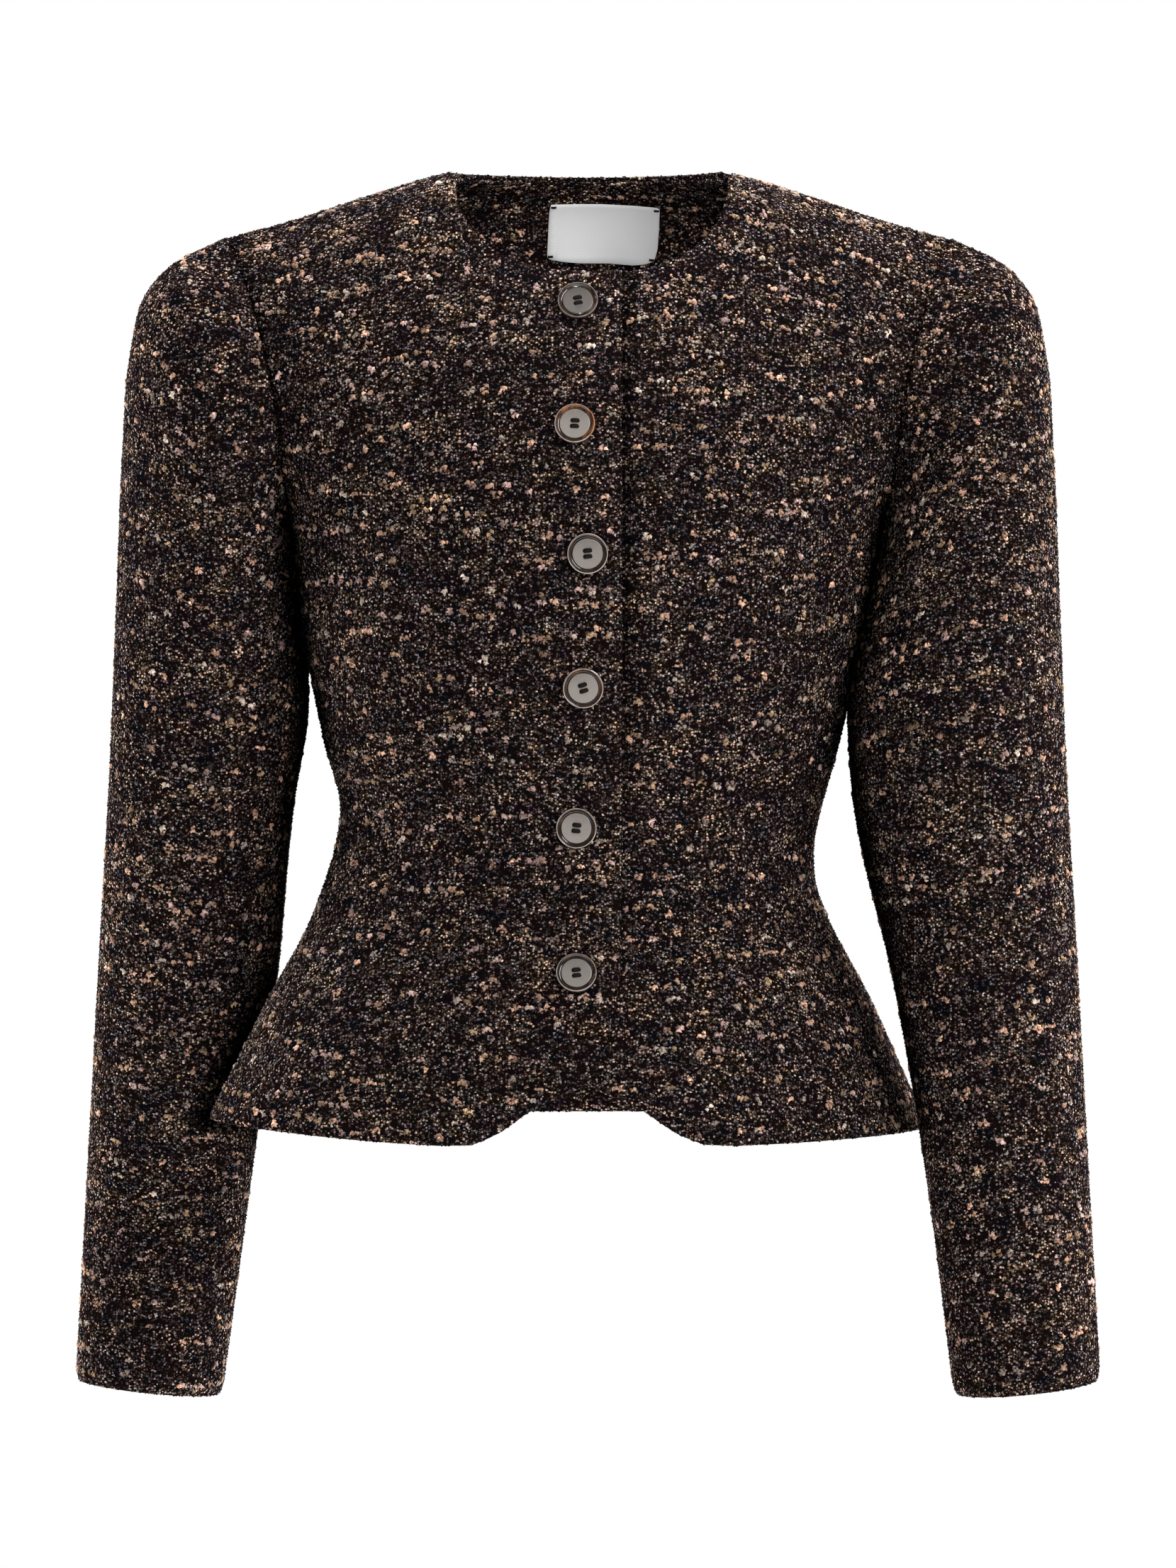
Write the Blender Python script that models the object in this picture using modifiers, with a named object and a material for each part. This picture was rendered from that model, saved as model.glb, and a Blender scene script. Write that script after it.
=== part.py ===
"""Boucle jacket in its worn, hollow form: fronts, back, sleeves, neck facing, label and buttons.

Lengths below are millimetres. The origin lies between the two neck points, on the shoulder line.
+Z is up, the front faces -Y, and the wearer's right is at -X.
"""
import math

import bmesh
import bpy
import numpy as np
from mathutils import Matrix, Vector
from mathutils.geometry import delaunay_2d_cdt

MM = 0.001

# Cloth and seams
CLOTH = 2.6             # boucle with its backing
FACING = 1.8            # boucle facing inside the neck
LABEL = 1.0             # woven label
SEAM = 0.2              # a panel stops this far short of its seam line
LAY = 0.4               # clear space between pieces that lie on each other
UNDER_LAY = 1.1         # and between the two fronts where they overlap
PANEL_MESH = 21.0       # spacing of the points on a panel
EDGE_MESH = 15.0        # spacing of the points along a panel's edge
ROW_SHARE = 0.87        # rows of points are this much closer than the points in a row
EDGE_CLEAR = 0.5        # points stay this share of their spacing away from an edge
FLAT_WIDTH = 190.0      # width that the flat layout of a panel gives to one side of a level

# Widths and heights in the tables are as seen from straight in front, on the plane through the origin
VIEW_DISTANCE = 3100.0
VIEW_HEIGHT = -332.0

# Torso, one row for each level from the hem to the shoulder line. A level runs from the centre to
# its two side edges: z of the front, back, right and left, x and y of the edges, y of the front and
# back centre, how far the armhole opens to the front and back of the edge, and the direction in which
# the cloth arrives there, in degrees.
LEVEL_COLUMNS = ("z_front", "z_back", "z_right", "z_left", "x_right", "x_left", "y_right", "y_left",
                 "y_front", "y_back", "arm_front", "arm_back", "turn")
LEVELS = {
    "hem":          (-520, -516, -517, -515, -206, 184, -28, 24, -137, 140, 0, 0, 90),
    "hem_roll":     (-505, -503, -505, -503, -207.2, 178, -26, 22, -133, 136, 0, 0, 90),
    "peplum":       (-447, -447, -447, -447, -173, 152.5, -17, 14, -118, 119, 0, 0, 90),
    "hip":          (-401, -401, -401, -401, -148.8, 128.7, -8, 6, -101, 98, 0, 0, 90),
    "waist":        (-357, -357, -346, -369, -134.4, 122.5, -3, 2, -93, 87, 0, 0, 90),
    "ribs":         (-309, -309, -309, -309, -143.3, 136.6, 0, 0, -102, 94, 0, 0, 90),
    "under_bust":   (-258, -258, -258, -258, -153, 148.5, 2, 2, -111, 101, 0, 0, 90),
    "bust":         (-205, -205, -196, -198, -160.5, 158.5, 2, 2, -114, 107, 0, 0, 90),
    "armhole_low":  (-162, -162, -158, -160, -166, 167, 4, 4, -108, 110, 38, 42, 66),
    "armhole_mid":  (-118, -118, -118, -118, -171.5, 172.5, 5, 5, -97, 107, 49, 53, 58),
    "armhole_high": (-66, -66, -77, -77, -181, 182, 6, 6, -76, 93, 40, 43, 42),
    "yoke":         (2, 2, -48, -48, -191, 192, 6, 6, -37, 58, 19, 21, 18),
    "shoulder":     (9.5, 9.5, -37, -37, -195.5, 196.5, 6, 6, 8, 8, 0, 0, 0),
}
ROUND = 0.5523          # handle of a quarter round, as a share of its radius
STRAIGHT = 0.6          # share of that handle where a level arrives straight
SHORTER = 0.27          # and how much shorter the handle at the middle is there
SMALL_P = 0.003         # small moves over the form, for its directions
SMALL_W = 0.5
SEARCH = 81             # places tried each way, and steps taken, to find a point on the form
SEARCH_STEPS = 12
FINE = 400              # short steps along a curve, to measure its length

# Neck: half width and centre of the opening, and its depths
NECK_HALF = 75.2
NECK_CENTRE = 2.0
NECK_FRONT_Z = -60.5
NECK_POINT_Z = 0.8
NECK_SQUARE = 2.5       # 2 is a round scoop, higher is squarer
NECK_BACK_Z = 3.0
NECK_CLEAR = 4.0        # the neckline's first point lies this far from the front edge
NECK_FRONT_POINTS = 41
NECK_BACK_POINTS = 15

# Front edges: the right one lies on top, and both are the same either side of the closure line.
# Each row is how far the edge lies past the closure line, and its z.
CLOSURE_X = 0.2
OVERLAP_HALF = 16.6
UNDER_RAMP = (20.0, 78.0)   # the left front steps in under the right one between these x
FRONT_EDGE = (
    (OVERLAP_HALF, NECK_FRONT_Z),
    (OVERLAP_HALF, -150),
    (OVERLAP_HALF, -280),
    (OVERLAP_HALF, -405),
    (12.0, -452),
    (0.0, -484.5),
    (-31.3, -501),
    (-48.0, -512.5),
    (-61.0, -518.2),
)
CUTAWAY_END = -78.0     # from here out the hem is level

# Sleeves, one row for each ring from the sleeve head to the cuff: its outer and inner point as seen
# from in front, and its middle and half depth in y
RING_COLUMNS = ("z_outer", "x_outer", "z_inner", "x_inner_right", "x_inner_left",
                "y_right", "y_left", "half_depth")
RINGS = {
    "crown":   (-48.5, 223.0, -203, 163.0, 161.0, 6, 5, 57),
    "head":    (-65, 239.2, -207, 163.0, 161.0, 7, 4, 60),
    "cap":     (-99, 248.3, -214, 161.5, 159.5, 9, 1, 62),
    "upper":   (-150, 252.3, -236, 157.2, 155.2, 17, -11, 62),
    "biceps":  (-230, 255.6, -286, 153.4, 142.6, 30, -32, 59),
    "elbow":   (-330, 259.7, -342, 159.4, 144.0, 40, -38, 55),
    "forearm": (-430, 265.4, -441, 169.0, 166.0, 62, -46, 50),
    "lower":   (-540, 271.3, -548, 183.0, 184.0, 88, -62, 45),
    "cuff":    (-653.5, 277.7, -662, 198.5, 198.5, 100, -74, 40),
}
RING_POINTS = 24
RING_STEP = 44.0        # spacing of the rings along a sleeve
HEAD_STEP = 17.0        # and over its head, which is the first stretches
HEAD_RINGS = 3
HEAD_RISE = 9.0         # the sleeve head leaves the seam this far before it turns down
HEAD_RISE_LOW = 0.3     # and this share of it under the arm
HEAD_LEAVES_TOP = np.array((0.97, 0.0, -0.3))   # its direction at the shoulder, for the left sleeve
HEAD_LEAVES_LOW = np.array((0.13, 0.0, -1.0))   # and under the arm
HEAD_LEAVES_SIDE = np.array((0.0, -0.55, 0.0))  # added to both at the front, taken off at the back
SLEEVE_STEP = 0.5       # the sleeve stands this far out from the panels at the armhole

# Label, as seen from in front
LABEL_WIDTH = 60.0
LABEL_HEIGHT = 31.0
LABEL_CENTRE = (8.5, -34.0)
LABEL_Y = 72.0
LABEL_POINTS = 4        # along each side

# Facing: how far it runs along the shoulder seam and down the back
FACING_SHOULDER = 0.66
FACING_DEPTH = 92.0
FACING_POWER = 0.7      # 1 is a round lower edge, lower is squarer
FACING_POINTS = 17

# Buttons: x and z as seen from in front, how far each is turned, in degrees, and how far its thread
# holds it off the cloth
BUTTON_COLUMNS = ("x", "z", "spin", "stand")
BUTTONS = (
    (-5.5, -69.0, 8, 0.5),
    (-7.2, -136.0, -6, 0.7),
    (-0.4, -207.0, 2, 0.7),
    (-2.5, -280.0, 14, 0.7),
    (-6.4, -356.0, -9, 0.95),
    (-6.4, -433.5, 4, 0.45),
)
# A turned disc with a raised rim and a dished middle: radius and height, from the face to the back
BUTTON_PROFILE = (
    (0.0, 2.3),
    (7.9, 2.45),
    (8.4, 1.9),
    (8.8, 2.0),
    (9.7, 3.2),
    (10.2, 3.35),
    (10.75, 2.6),
    (10.6, 1.3),
    (8.4, 0.0),
    (0.0, 0.0),
)
BUTTON_SIDES = 20
HOLE_RADIUS = 0.95
HOLE_SIDES = 6
HOLE_OFFSET = 1.55      # of each hole from the middle, both ways
DRILL_LENGTH = 20.0

BOUCLE = ((0.045, 0.034, 0.031), 0.95, 0.0)
LABEL_CLOTH = ((0.63, 0.63, 0.63), 0.7, 0.0)
HORN = ((0.13, 0.095, 0.075), 0.3, 0.0)


def as_seen(x, z, y):
    """Bring a width and height seen from in front to the depth y at which they lie."""
    scale = (VIEW_DISTANCE + y) / VIEW_DISTANCE
    return x * scale, VIEW_HEIGHT + (z - VIEW_HEIGHT) * scale


def smooth(knots, rows, at):
    """Rows of numbers at the given places, on a smooth curve through the rows at the knots.

    The curve is level at a row where the numbers turn back, so it never swings past that row.
    """
    knots = np.asarray(knots, float)
    rows = np.asarray(rows, float)
    steps = np.diff(knots)
    rates = np.diff(rows, axis=0) / steps[:, None]
    slopes = np.empty_like(rows)
    slopes[0] = rates[0]
    slopes[-1] = rates[-1]
    before = steps[:-1, None]
    after = steps[1:, None]
    slopes[1:-1] = (rates[:-1] * after + rates[1:] * before) / (before + after)
    slopes[1:-1] *= rates[:-1] * rates[1:] > 0
    at = np.clip(np.asarray(at, float), knots[0], knots[-1])
    i = np.clip(np.searchsorted(knots, at, side="right") - 1, 0, len(steps) - 1)
    h = steps[i][:, None]
    t = ((at - knots[i])[:, None]) / h
    return (rows[i] * (1 + 2 * t) * (1 - t) ** 2 + rows[i + 1] * t * t * (3 - 2 * t)
            + h * (slopes[i] * t * (1 - t) ** 2 - slopes[i + 1] * t * t * (1 - t)))


def spread(knots, rows, spacing):
    """Points along a smooth curve through the rows, about the given spacing apart."""
    fine = smooth(knots, rows, np.linspace(knots[0], knots[-1], FINE))
    length = np.concatenate([[0.0], np.cumsum(np.linalg.norm(np.diff(fine, axis=0), axis=1))])
    count = max(2, int(round(length[-1] / spacing)) + 1)
    places = np.linspace(0.0, length[-1], count)
    return np.column_stack([np.interp(places, length, fine[:, k]) for k in range(fine.shape[1])])


def chord_knots(points):
    """Distances along a row of points."""
    return np.concatenate([[0.0], np.cumsum(np.linalg.norm(np.diff(points, axis=0), axis=1))])


class Torso:
    """The form that the fronts and back lie on: from the front hem over the shoulder to the back hem.

    A place on it is (p, w): p from -1 at the right side edge to 1 at the left one, and w in
    millimetres along the middle, rising up the front and then down the back.
    """

    def __init__(self):
        front = [self.level(row, "front") for row in LEVELS.values()]
        back = [self.level(row, "back") for row in LEVELS.values()]
        self.rows = np.array(front + back[-2::-1])
        middles = self.rows[:, 6:8]
        sides = self.rows[:, 0:3]
        self.knots = 0.5 * (chord_knots(middles) + chord_knots(sides))
        count = len(LEVELS)
        names = list(LEVELS)
        self.front = {name: self.knots[i] for i, name in enumerate(names)}
        self.back = {name: self.knots[2 * count - 2 - i] for i, name in enumerate(names)}

    @staticmethod
    def level(values, face):
        """Right edge, left edge, middle y and z, and arriving direction of one level."""
        row = dict(zip(LEVEL_COLUMNS, values))
        reach = -row["arm_front"] if face == "front" else row["arm_back"]
        y_right = row["y_right"] + reach
        y_left = row["y_left"] + reach
        x_right, z_right = as_seen(row["x_right"], row["z_right"], y_right)
        x_left, z_left = as_seen(row["x_left"], row["z_left"], y_left)
        return (x_right, y_right, z_right, x_left, y_left, z_left, row["y_" + face], row["z_" + face],
                row["turn"])

    def points(self, p, w):
        """Points of the form at the places (p, w)."""
        p = np.asarray(p, float)
        rows = smooth(self.knots, self.rows, w)
        left = (p > 0)[:, None]
        edge = np.where(left, rows[:, 3:6], rows[:, 0:3])
        middle = np.column_stack([0.5 * (rows[:, 0] + rows[:, 3]), rows[:, 6], rows[:, 7]])
        turn = np.radians(rows[:, 8])
        reach = edge - middle
        along = np.cos(turn)
        leave = np.column_stack([reach[:, 0] * (1 - SHORTER * along), np.zeros(len(p)), np.zeros(len(p))])
        arrive = np.column_stack([reach[:, 0] * along * STRAIGHT, reach[:, 1] * np.sin(turn),
                                  reach[:, 2] * along * STRAIGHT])
        a = middle + ROUND * leave
        b = edge - ROUND * arrive
        u = np.abs(p)[:, None]
        v = 1 - u
        return middle * v ** 3 + 3 * a * u * v * v + 3 * b * u * u * v + edge * u ** 3

    def normals(self, p, w):
        """Outward directions of the form at the places (p, w)."""
        p = np.asarray(p, float)
        w = np.asarray(w, float)
        across = (self.points(np.clip(p + SMALL_P, -1, 1), w)
                  - self.points(np.clip(p - SMALL_P, -1, 1), w))
        along = self.points(p, w + SMALL_W) - self.points(p, w - SMALL_W)
        out = np.cross(across, along)
        return out / np.linalg.norm(out, axis=1)[:, None]

    def moved(self, p, w, out):
        """Points of the form moved outwards by a distance, or inwards where it is negative."""
        return self.points(p, w) + self.normals(p, w) * np.reshape(out, (-1, 1))

    def find(self, targets, axes, low, high):
        """Places (p, w), with w between low and high, whose points have the wanted coordinates."""
        grid_p, grid_w = np.meshgrid(np.linspace(-1, 1, SEARCH), np.linspace(low, high, SEARCH))
        grid_p = grid_p.ravel()
        grid_w = grid_w.ravel()
        sample = self.points(grid_p, grid_w)[:, axes]
        places = []
        for target in np.asarray(targets, float):
            nearest = np.argmin(((sample - target) ** 2).sum(axis=1))
            place = np.array([grid_p[nearest], grid_w[nearest]])
            for _ in range(SEARCH_STEPS):
                tries = np.array([place, place + (SMALL_P, 0), place + (0, SMALL_W)])
                found = self.points(tries[:, 0], tries[:, 1])[:, axes]
                rates = np.column_stack([(found[1] - found[0]) / SMALL_P, (found[2] - found[0]) / SMALL_W])
                step = np.linalg.lstsq(rates, target - found[0], rcond=None)[0]
                place = np.clip(place + step, (-1, low), (1, high))
            places.append(place)
        return np.array(places)


TORSO = Torso()
FRONT_XZ = [0, 2]


def flat(places):
    """Places (p, w) as a flat layout in millimetres."""
    return np.asarray(places) * (FLAT_WIDTH, 1.0)


def seam_p(side):
    """The p at which a panel stops short of its side seam or armhole."""
    return side * (1.0 - SEAM / FLAT_WIDTH)


def straight_run(start, end):
    """Places from start to just before end, evenly spread."""
    start = np.asarray(start, float)
    end = np.asarray(end, float)
    count = max(1, int(round(np.linalg.norm(flat([end - start])) / EDGE_MESH)))
    return start + (end - start) * np.linspace(0, 1, count, endpoint=False)[:, None]


def side_run(side, low, high):
    """Places up or down a side seam and armhole, with a point on every level."""
    levels = TORSO.knots[(TORSO.knots > min(low, high) + 1) & (TORSO.knots < max(low, high) - 1)]
    stops = np.concatenate([[min(low, high)], levels, [max(low, high)]])
    if low > high:
        stops = stops[::-1]
    runs = [straight_run((seam_p(side), a), (seam_p(side), b)) for a, b in zip(stops[:-1], stops[1:])]
    return np.concatenate(runs)


def inside(points, outline):
    """Which points lie inside a closed outline, and how far each is from it."""
    start = outline
    end = np.roll(outline, -1, axis=0)
    x = points[:, 0][:, None]
    y = points[:, 1][:, None]
    crosses = (start[:, 1] > y) != (end[:, 1] > y)
    rise = np.where(end[:, 1] == start[:, 1], 1e-9, end[:, 1] - start[:, 1])
    hit = start[:, 0] + (y - start[:, 1]) * (end[:, 0] - start[:, 0]) / rise
    enclosed = (crosses & (x < hit)).sum(axis=1) % 2 == 1
    run = end - start
    length = np.maximum((run ** 2).sum(axis=1), 1e-9)
    share = ((x - start[:, 0]) * run[:, 0] + (y - start[:, 1]) * run[:, 1]) / length
    share = np.clip(share, 0, 1)
    away = np.hypot(x - start[:, 0] - share * run[:, 0], y - start[:, 1] - share * run[:, 1])
    return enclosed, away.min(axis=1)


def cut_panel(outline, lines, spacing):
    """Fill a flat outline of places (p, w), with lines drawn on it: all places and their triangles."""
    edge = flat(outline)
    low = edge.min(axis=0)
    high = edge.max(axis=0)
    rows = np.arange(low[1], high[1], spacing * ROW_SHARE)
    grid = np.array([(x + 0.5 * spacing * (k % 2), y)
                     for k, y in enumerate(rows) for x in np.arange(low[0], high[0], spacing)])
    clear, away = inside(grid, edge)
    keep = clear & (away > EDGE_CLEAR * spacing)
    spots = [edge]
    count = len(edge)
    rims = [(i, (i + 1) % count) for i in range(count)]
    for line in lines:
        drawn = flat(line)
        _, away = inside(grid, drawn)
        keep &= away > EDGE_CLEAR * spacing
        spots.append(drawn)
        rims += [(count + i, count + i + 1) for i in range(len(drawn) - 1)]
        count += len(drawn)
    spots = np.concatenate(spots + [grid[keep]])
    cut = delaunay_2d_cdt([Vector(spot) for spot in spots], rims, [], 1, 1e-5)
    places = np.array([tuple(point) for point in cut[0]]) / (FLAT_WIDTH, 1.0)
    return places, [tuple(face) for face in cut[2]]


def material(name, look):
    """A plain finish: colour, roughness and metallic value."""
    colour, roughness, metallic = look
    made = bpy.data.materials.new(name)
    made.use_nodes = True
    shader = made.node_tree.nodes["Principled BSDF"]
    shader.inputs["Base Color"].default_value = (*colour, 1.0)
    shader.inputs["Roughness"].default_value = roughness
    shader.inputs["Metallic"].default_value = metallic
    return made


def add_object(name, points, faces, finish, collection):
    """A mesh object from points in millimetres and faces."""
    mesh = bpy.data.meshes.new(name)
    mesh.from_pydata([tuple(point) for point in np.asarray(points) * MM], [], faces)
    mesh.shade_smooth()
    made = bpy.data.objects.new(name, mesh)
    made.data.materials.append(finish)
    collection.objects.link(made)
    return made


def add_wall(name, outer, inner, faces, finish, collection):
    """A closed wall between an outer and an inner surface that share their faces."""
    count = len(outer)
    walls = [tuple(face) for face in faces]
    walls += [tuple(count + i for i in reversed(face)) for face in faces]
    sides = {(face[k - 1], face[k]) for face in faces for k in range(len(face))}
    walls += [(b, a, count + a, count + b) for a, b in sides if (b, a) not in sides]
    return add_object(name, np.concatenate([outer, inner]), sorted(walls), finish, collection)


def lay_on_torso(name, places, faces, out, wall, finish, collection):
    """Cloth of the given wall on the torso's form, its outer face moved out by a distance."""
    used = sorted({i for face in faces for i in face})
    order = {old: new for new, old in enumerate(used)}
    p, w = places[used].T
    out = np.broadcast_to(out, len(places))[used]
    faces = [[order[i] for i in face] for face in faces]
    outer = TORSO.moved(p, w, out)
    return add_wall(name, outer, TORSO.moved(p, w, out - wall), faces, finish, collection)


def neck_front():
    """Front neckline as seen on the form, from the right neck point round to the left one."""
    angle = np.linspace(-0.5 * math.pi, 0.5 * math.pi, NECK_FRONT_POINTS)
    power = 2.0 / NECK_SQUARE
    x = NECK_CENTRE + NECK_HALF * np.sign(np.sin(angle)) * np.abs(np.sin(angle)) ** power
    z = NECK_POINT_Z - (NECK_POINT_Z - NECK_FRONT_Z) * np.abs(np.cos(angle)) ** power
    return np.column_stack([x, z])


def front_panel(name, side, finish, collection):
    """One front. side is -1 for the wearer's right, on top, and 1 for the left, underneath."""
    hem = TORSO.front["hem"]
    top = TORSO.front["shoulder"] - SEAM
    edge = [(CLOSURE_X - side * across, z) for across, z in FRONT_EDGE]
    edge = spread(chord_knots(np.array(edge)), edge, EDGE_MESH)
    hem_z = LEVELS["hem"][LEVEL_COLUMNS.index("z_front")]
    corner = TORSO.find([(CLOSURE_X - side * CUTAWAY_END, hem_z)], FRONT_XZ, hem, TORSO.front["peplum"])[0]
    corner[1] = hem
    front_edge = TORSO.find(edge, FRONT_XZ, hem, TORSO.front["yoke"])[::-1]
    neck = neck_front()[::side]
    meets = CLOSURE_X - side * OVERLAP_HALF
    neck = neck[side * (neck[:, 0] - meets) > NECK_CLEAR]
    neck = TORSO.find(neck, FRONT_XZ, TORSO.front["armhole_mid"], TORSO.front["shoulder"])
    neck[:, 1] = np.minimum(neck[:, 1], top)
    neck_point = np.array((neck[-1, 0], top))
    outline = np.concatenate([
        straight_run((seam_p(side), hem), corner),
        [corner],
        front_edge,
        neck[:-1],
        straight_run(neck_point, (seam_p(side), top)),
        side_run(side, top, hem),
    ])
    if side < 0:
        outline = outline[::-1]
    places, faces = cut_panel(outline, [], PANEL_MESH)
    out = np.zeros(len(places))
    if side > 0:
        x = TORSO.points(places[:, 0], places[:, 1])[:, 0]
        ramp = np.clip((UNDER_RAMP[1] - x) / (UNDER_RAMP[1] - UNDER_RAMP[0]), 0, 1)
        out = -(CLOTH + UNDER_LAY) * ramp * ramp * (3 - 2 * ramp)
    lay_on_torso(name, places, faces, out, CLOTH, finish, collection)


def neck_back():
    """Places of the back neckline from left to right, a nearly level line as seen from in front."""
    across = np.sin(np.linspace(0.5 * math.pi, -0.5 * math.pi, NECK_BACK_POINTS))
    x = NECK_CENTRE + NECK_HALF * across
    z = NECK_BACK_Z + (NECK_POINT_Z - NECK_BACK_Z) * across ** 4
    return TORSO.find(np.column_stack([x, z]), FRONT_XZ, TORSO.back["shoulder"], TORSO.back["armhole_high"])


def label_outline():
    """Places round the label, a plain rectangle as seen from in front."""
    x, z = as_seen(*LABEL_CENTRE, LABEL_Y)
    scale = (VIEW_DISTANCE + LABEL_Y) / VIEW_DISTANCE
    across = 0.5 * LABEL_WIDTH * scale
    down = 0.5 * LABEL_HEIGHT * scale
    corners = np.array([(x - across, z - down), (x + across, z - down), (x + across, z + down),
                        (x - across, z + down)])
    edge = [a + (b - a) * t for a, b in zip(corners, np.roll(corners, -1, axis=0))
            for t in np.linspace(0, 1, LABEL_POINTS, endpoint=False)]
    return TORSO.find(edge, FRONT_XZ, TORSO.back["yoke"] - LABEL_HEIGHT, TORSO.back["armhole_mid"])


def within(places, faces, outline):
    """The triangles that lie inside an outline of places."""
    middles = flat(places)[np.array(faces)].mean(axis=1)
    chosen, _ = inside(middles, flat(outline))
    return [face for face, keep in zip(faces, chosen) if keep]


def back_neck_and_label(boucle, label_cloth, collection):
    """The back, cut in one, and the facing and label that lie inside its neck on the same points."""
    hem = TORSO.back["hem"]
    top = TORSO.back["shoulder"] + SEAM
    neck = neck_back()
    neck[:, 1] = np.maximum(neck[:, 1], top)
    outline = np.concatenate([
        straight_run((seam_p(-1), hem), (seam_p(1), hem)),
        side_run(1, hem, top),
        straight_run((seam_p(1), top), (neck[0, 0], top)),
        neck[:-1],
        straight_run((neck[-1, 0], top), (seam_p(-1), top)),
        side_run(-1, top, hem),
    ])
    angle = np.linspace(-0.5 * math.pi, 0.5 * math.pi, FACING_POINTS)
    lower = np.column_stack([FACING_SHOULDER * np.sin(angle),
                             top + FACING_DEPTH * np.abs(np.cos(angle)) ** FACING_POWER])
    facing = np.concatenate([neck[:-1], straight_run((neck[-1, 0], top), lower[0]), lower[:-1],
                             straight_run(lower[-1], (neck[0, 0], top))])
    label = label_outline()
    places, faces = cut_panel(outline[::-1], [lower[1:-1], np.concatenate([label, label[:1]])], PANEL_MESH)
    facing_out = -(CLOTH + LAY)
    label_out = facing_out - FACING - LAY
    lay_on_torso("back", places, faces, 0.0, CLOTH, boucle, collection)
    lay_on_torso("back_neck_facing", places, within(places, faces, facing), facing_out, FACING,
                 boucle, collection)
    lay_on_torso("label", places, within(places, faces, label), label_out, LABEL, label_cloth, collection)


def armhole(side):
    """Loop of the armhole seam from the shoulder down the front and up the back, just off the panels."""
    low = TORSO.front["bust"]
    top = TORSO.front["shoulder"]
    high = TORSO.back["bust"]
    half = RING_POINTS // 2
    loop = []
    for start, end in ((top, low), (high, top)):
        w = np.linspace(start, end, FINE)
        length = chord_knots(TORSO.points(np.full(len(w), side), w))
        loop.append(np.interp(np.linspace(0, length[-1], half, endpoint=False), length, w))
    return TORSO.moved(np.full(RING_POINTS, side), np.concatenate(loop), SLEEVE_STEP)


def sleeve_rings(side):
    """Main rings of a sleeve, each a loop of points: the seam, the head's rise and the table's rings."""
    angle = np.linspace(0, 2 * math.pi, RING_POINTS, endpoint=False)
    seam = armhole(side)
    up = (0.5 + 0.5 * np.cos(angle))[:, None]
    leave = up * HEAD_LEAVES_TOP + (1 - up) * HEAD_LEAVES_LOW
    leave = leave * (side, 1, 1) + np.sin(angle)[:, None] * HEAD_LEAVES_SIDE
    leave /= np.linalg.norm(leave, axis=1)[:, None]
    rise = HEAD_RISE * (up + (1 - up) * HEAD_RISE_LOW)
    rings = [seam + leave * 2 * SEAM, seam + leave * rise]
    hand = "right" if side < 0 else "left"
    for values in RINGS.values():
        row = dict(zip(RING_COLUMNS, values))
        y = row["y_" + hand]
        x_outer, z_outer = as_seen(side * row["x_outer"], row["z_outer"], y)
        x_inner, z_inner = as_seen(side * row["x_inner_" + hand], row["z_inner"], y)
        outer = np.array((x_outer, y, z_outer))
        inner = np.array((x_inner, y, z_inner))
        front = np.array((0.0, -row["half_depth"], 0.0))
        middle = 0.5 * (outer + inner)
        reach = 0.5 * (outer - inner)
        rings.append(middle + np.cos(angle)[:, None] * reach + np.sin(angle)[:, None] * front)
    return np.array(rings)


def sleeve(name, side, finish, collection):
    """A set-in sleeve: rings from the armhole seam over the head and down to the cuff."""
    rings = sleeve_rings(side)
    strands = [chord_knots(rings[:, k]) for k in range(RING_POINTS)]
    longest = max(strands, key=lambda knots: knots[-1])
    stops = [longest[0], longest[1]]
    for ring, (a, b) in enumerate(zip(longest[1:-1], longest[2:])):
        count = max(1, int(round((b - a) / (HEAD_STEP if ring < HEAD_RINGS else RING_STEP))))
        stops += list(a + (b - a) * (np.arange(count) + 1) / count)
    lines = []
    for k, knots in enumerate(strands):
        lines.append(smooth(knots, rings[:, k], np.interp(stops, longest, knots)))
    points = np.array(lines).transpose(1, 0, 2)
    count = len(stops)
    faces = []
    for j in range(count - 1):
        for k in range(RING_POINTS):
            after = (k + 1) % RING_POINTS
            face = (j * RING_POINTS + k, (j + 1) * RING_POINTS + k,
                    (j + 1) * RING_POINTS + after, j * RING_POINTS + after)
            faces.append(face if side < 0 else face[::-1])
    around = np.roll(points, -1, axis=1) - np.roll(points, 1, axis=1)
    down = np.gradient(points, axis=0)
    out = side * np.cross(around, down)
    out /= np.linalg.norm(out, axis=2)[:, :, None]
    inner = points - CLOTH * out
    add_wall(name, points.reshape(-1, 3), inner.reshape(-1, 3), faces, finish, collection)


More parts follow.
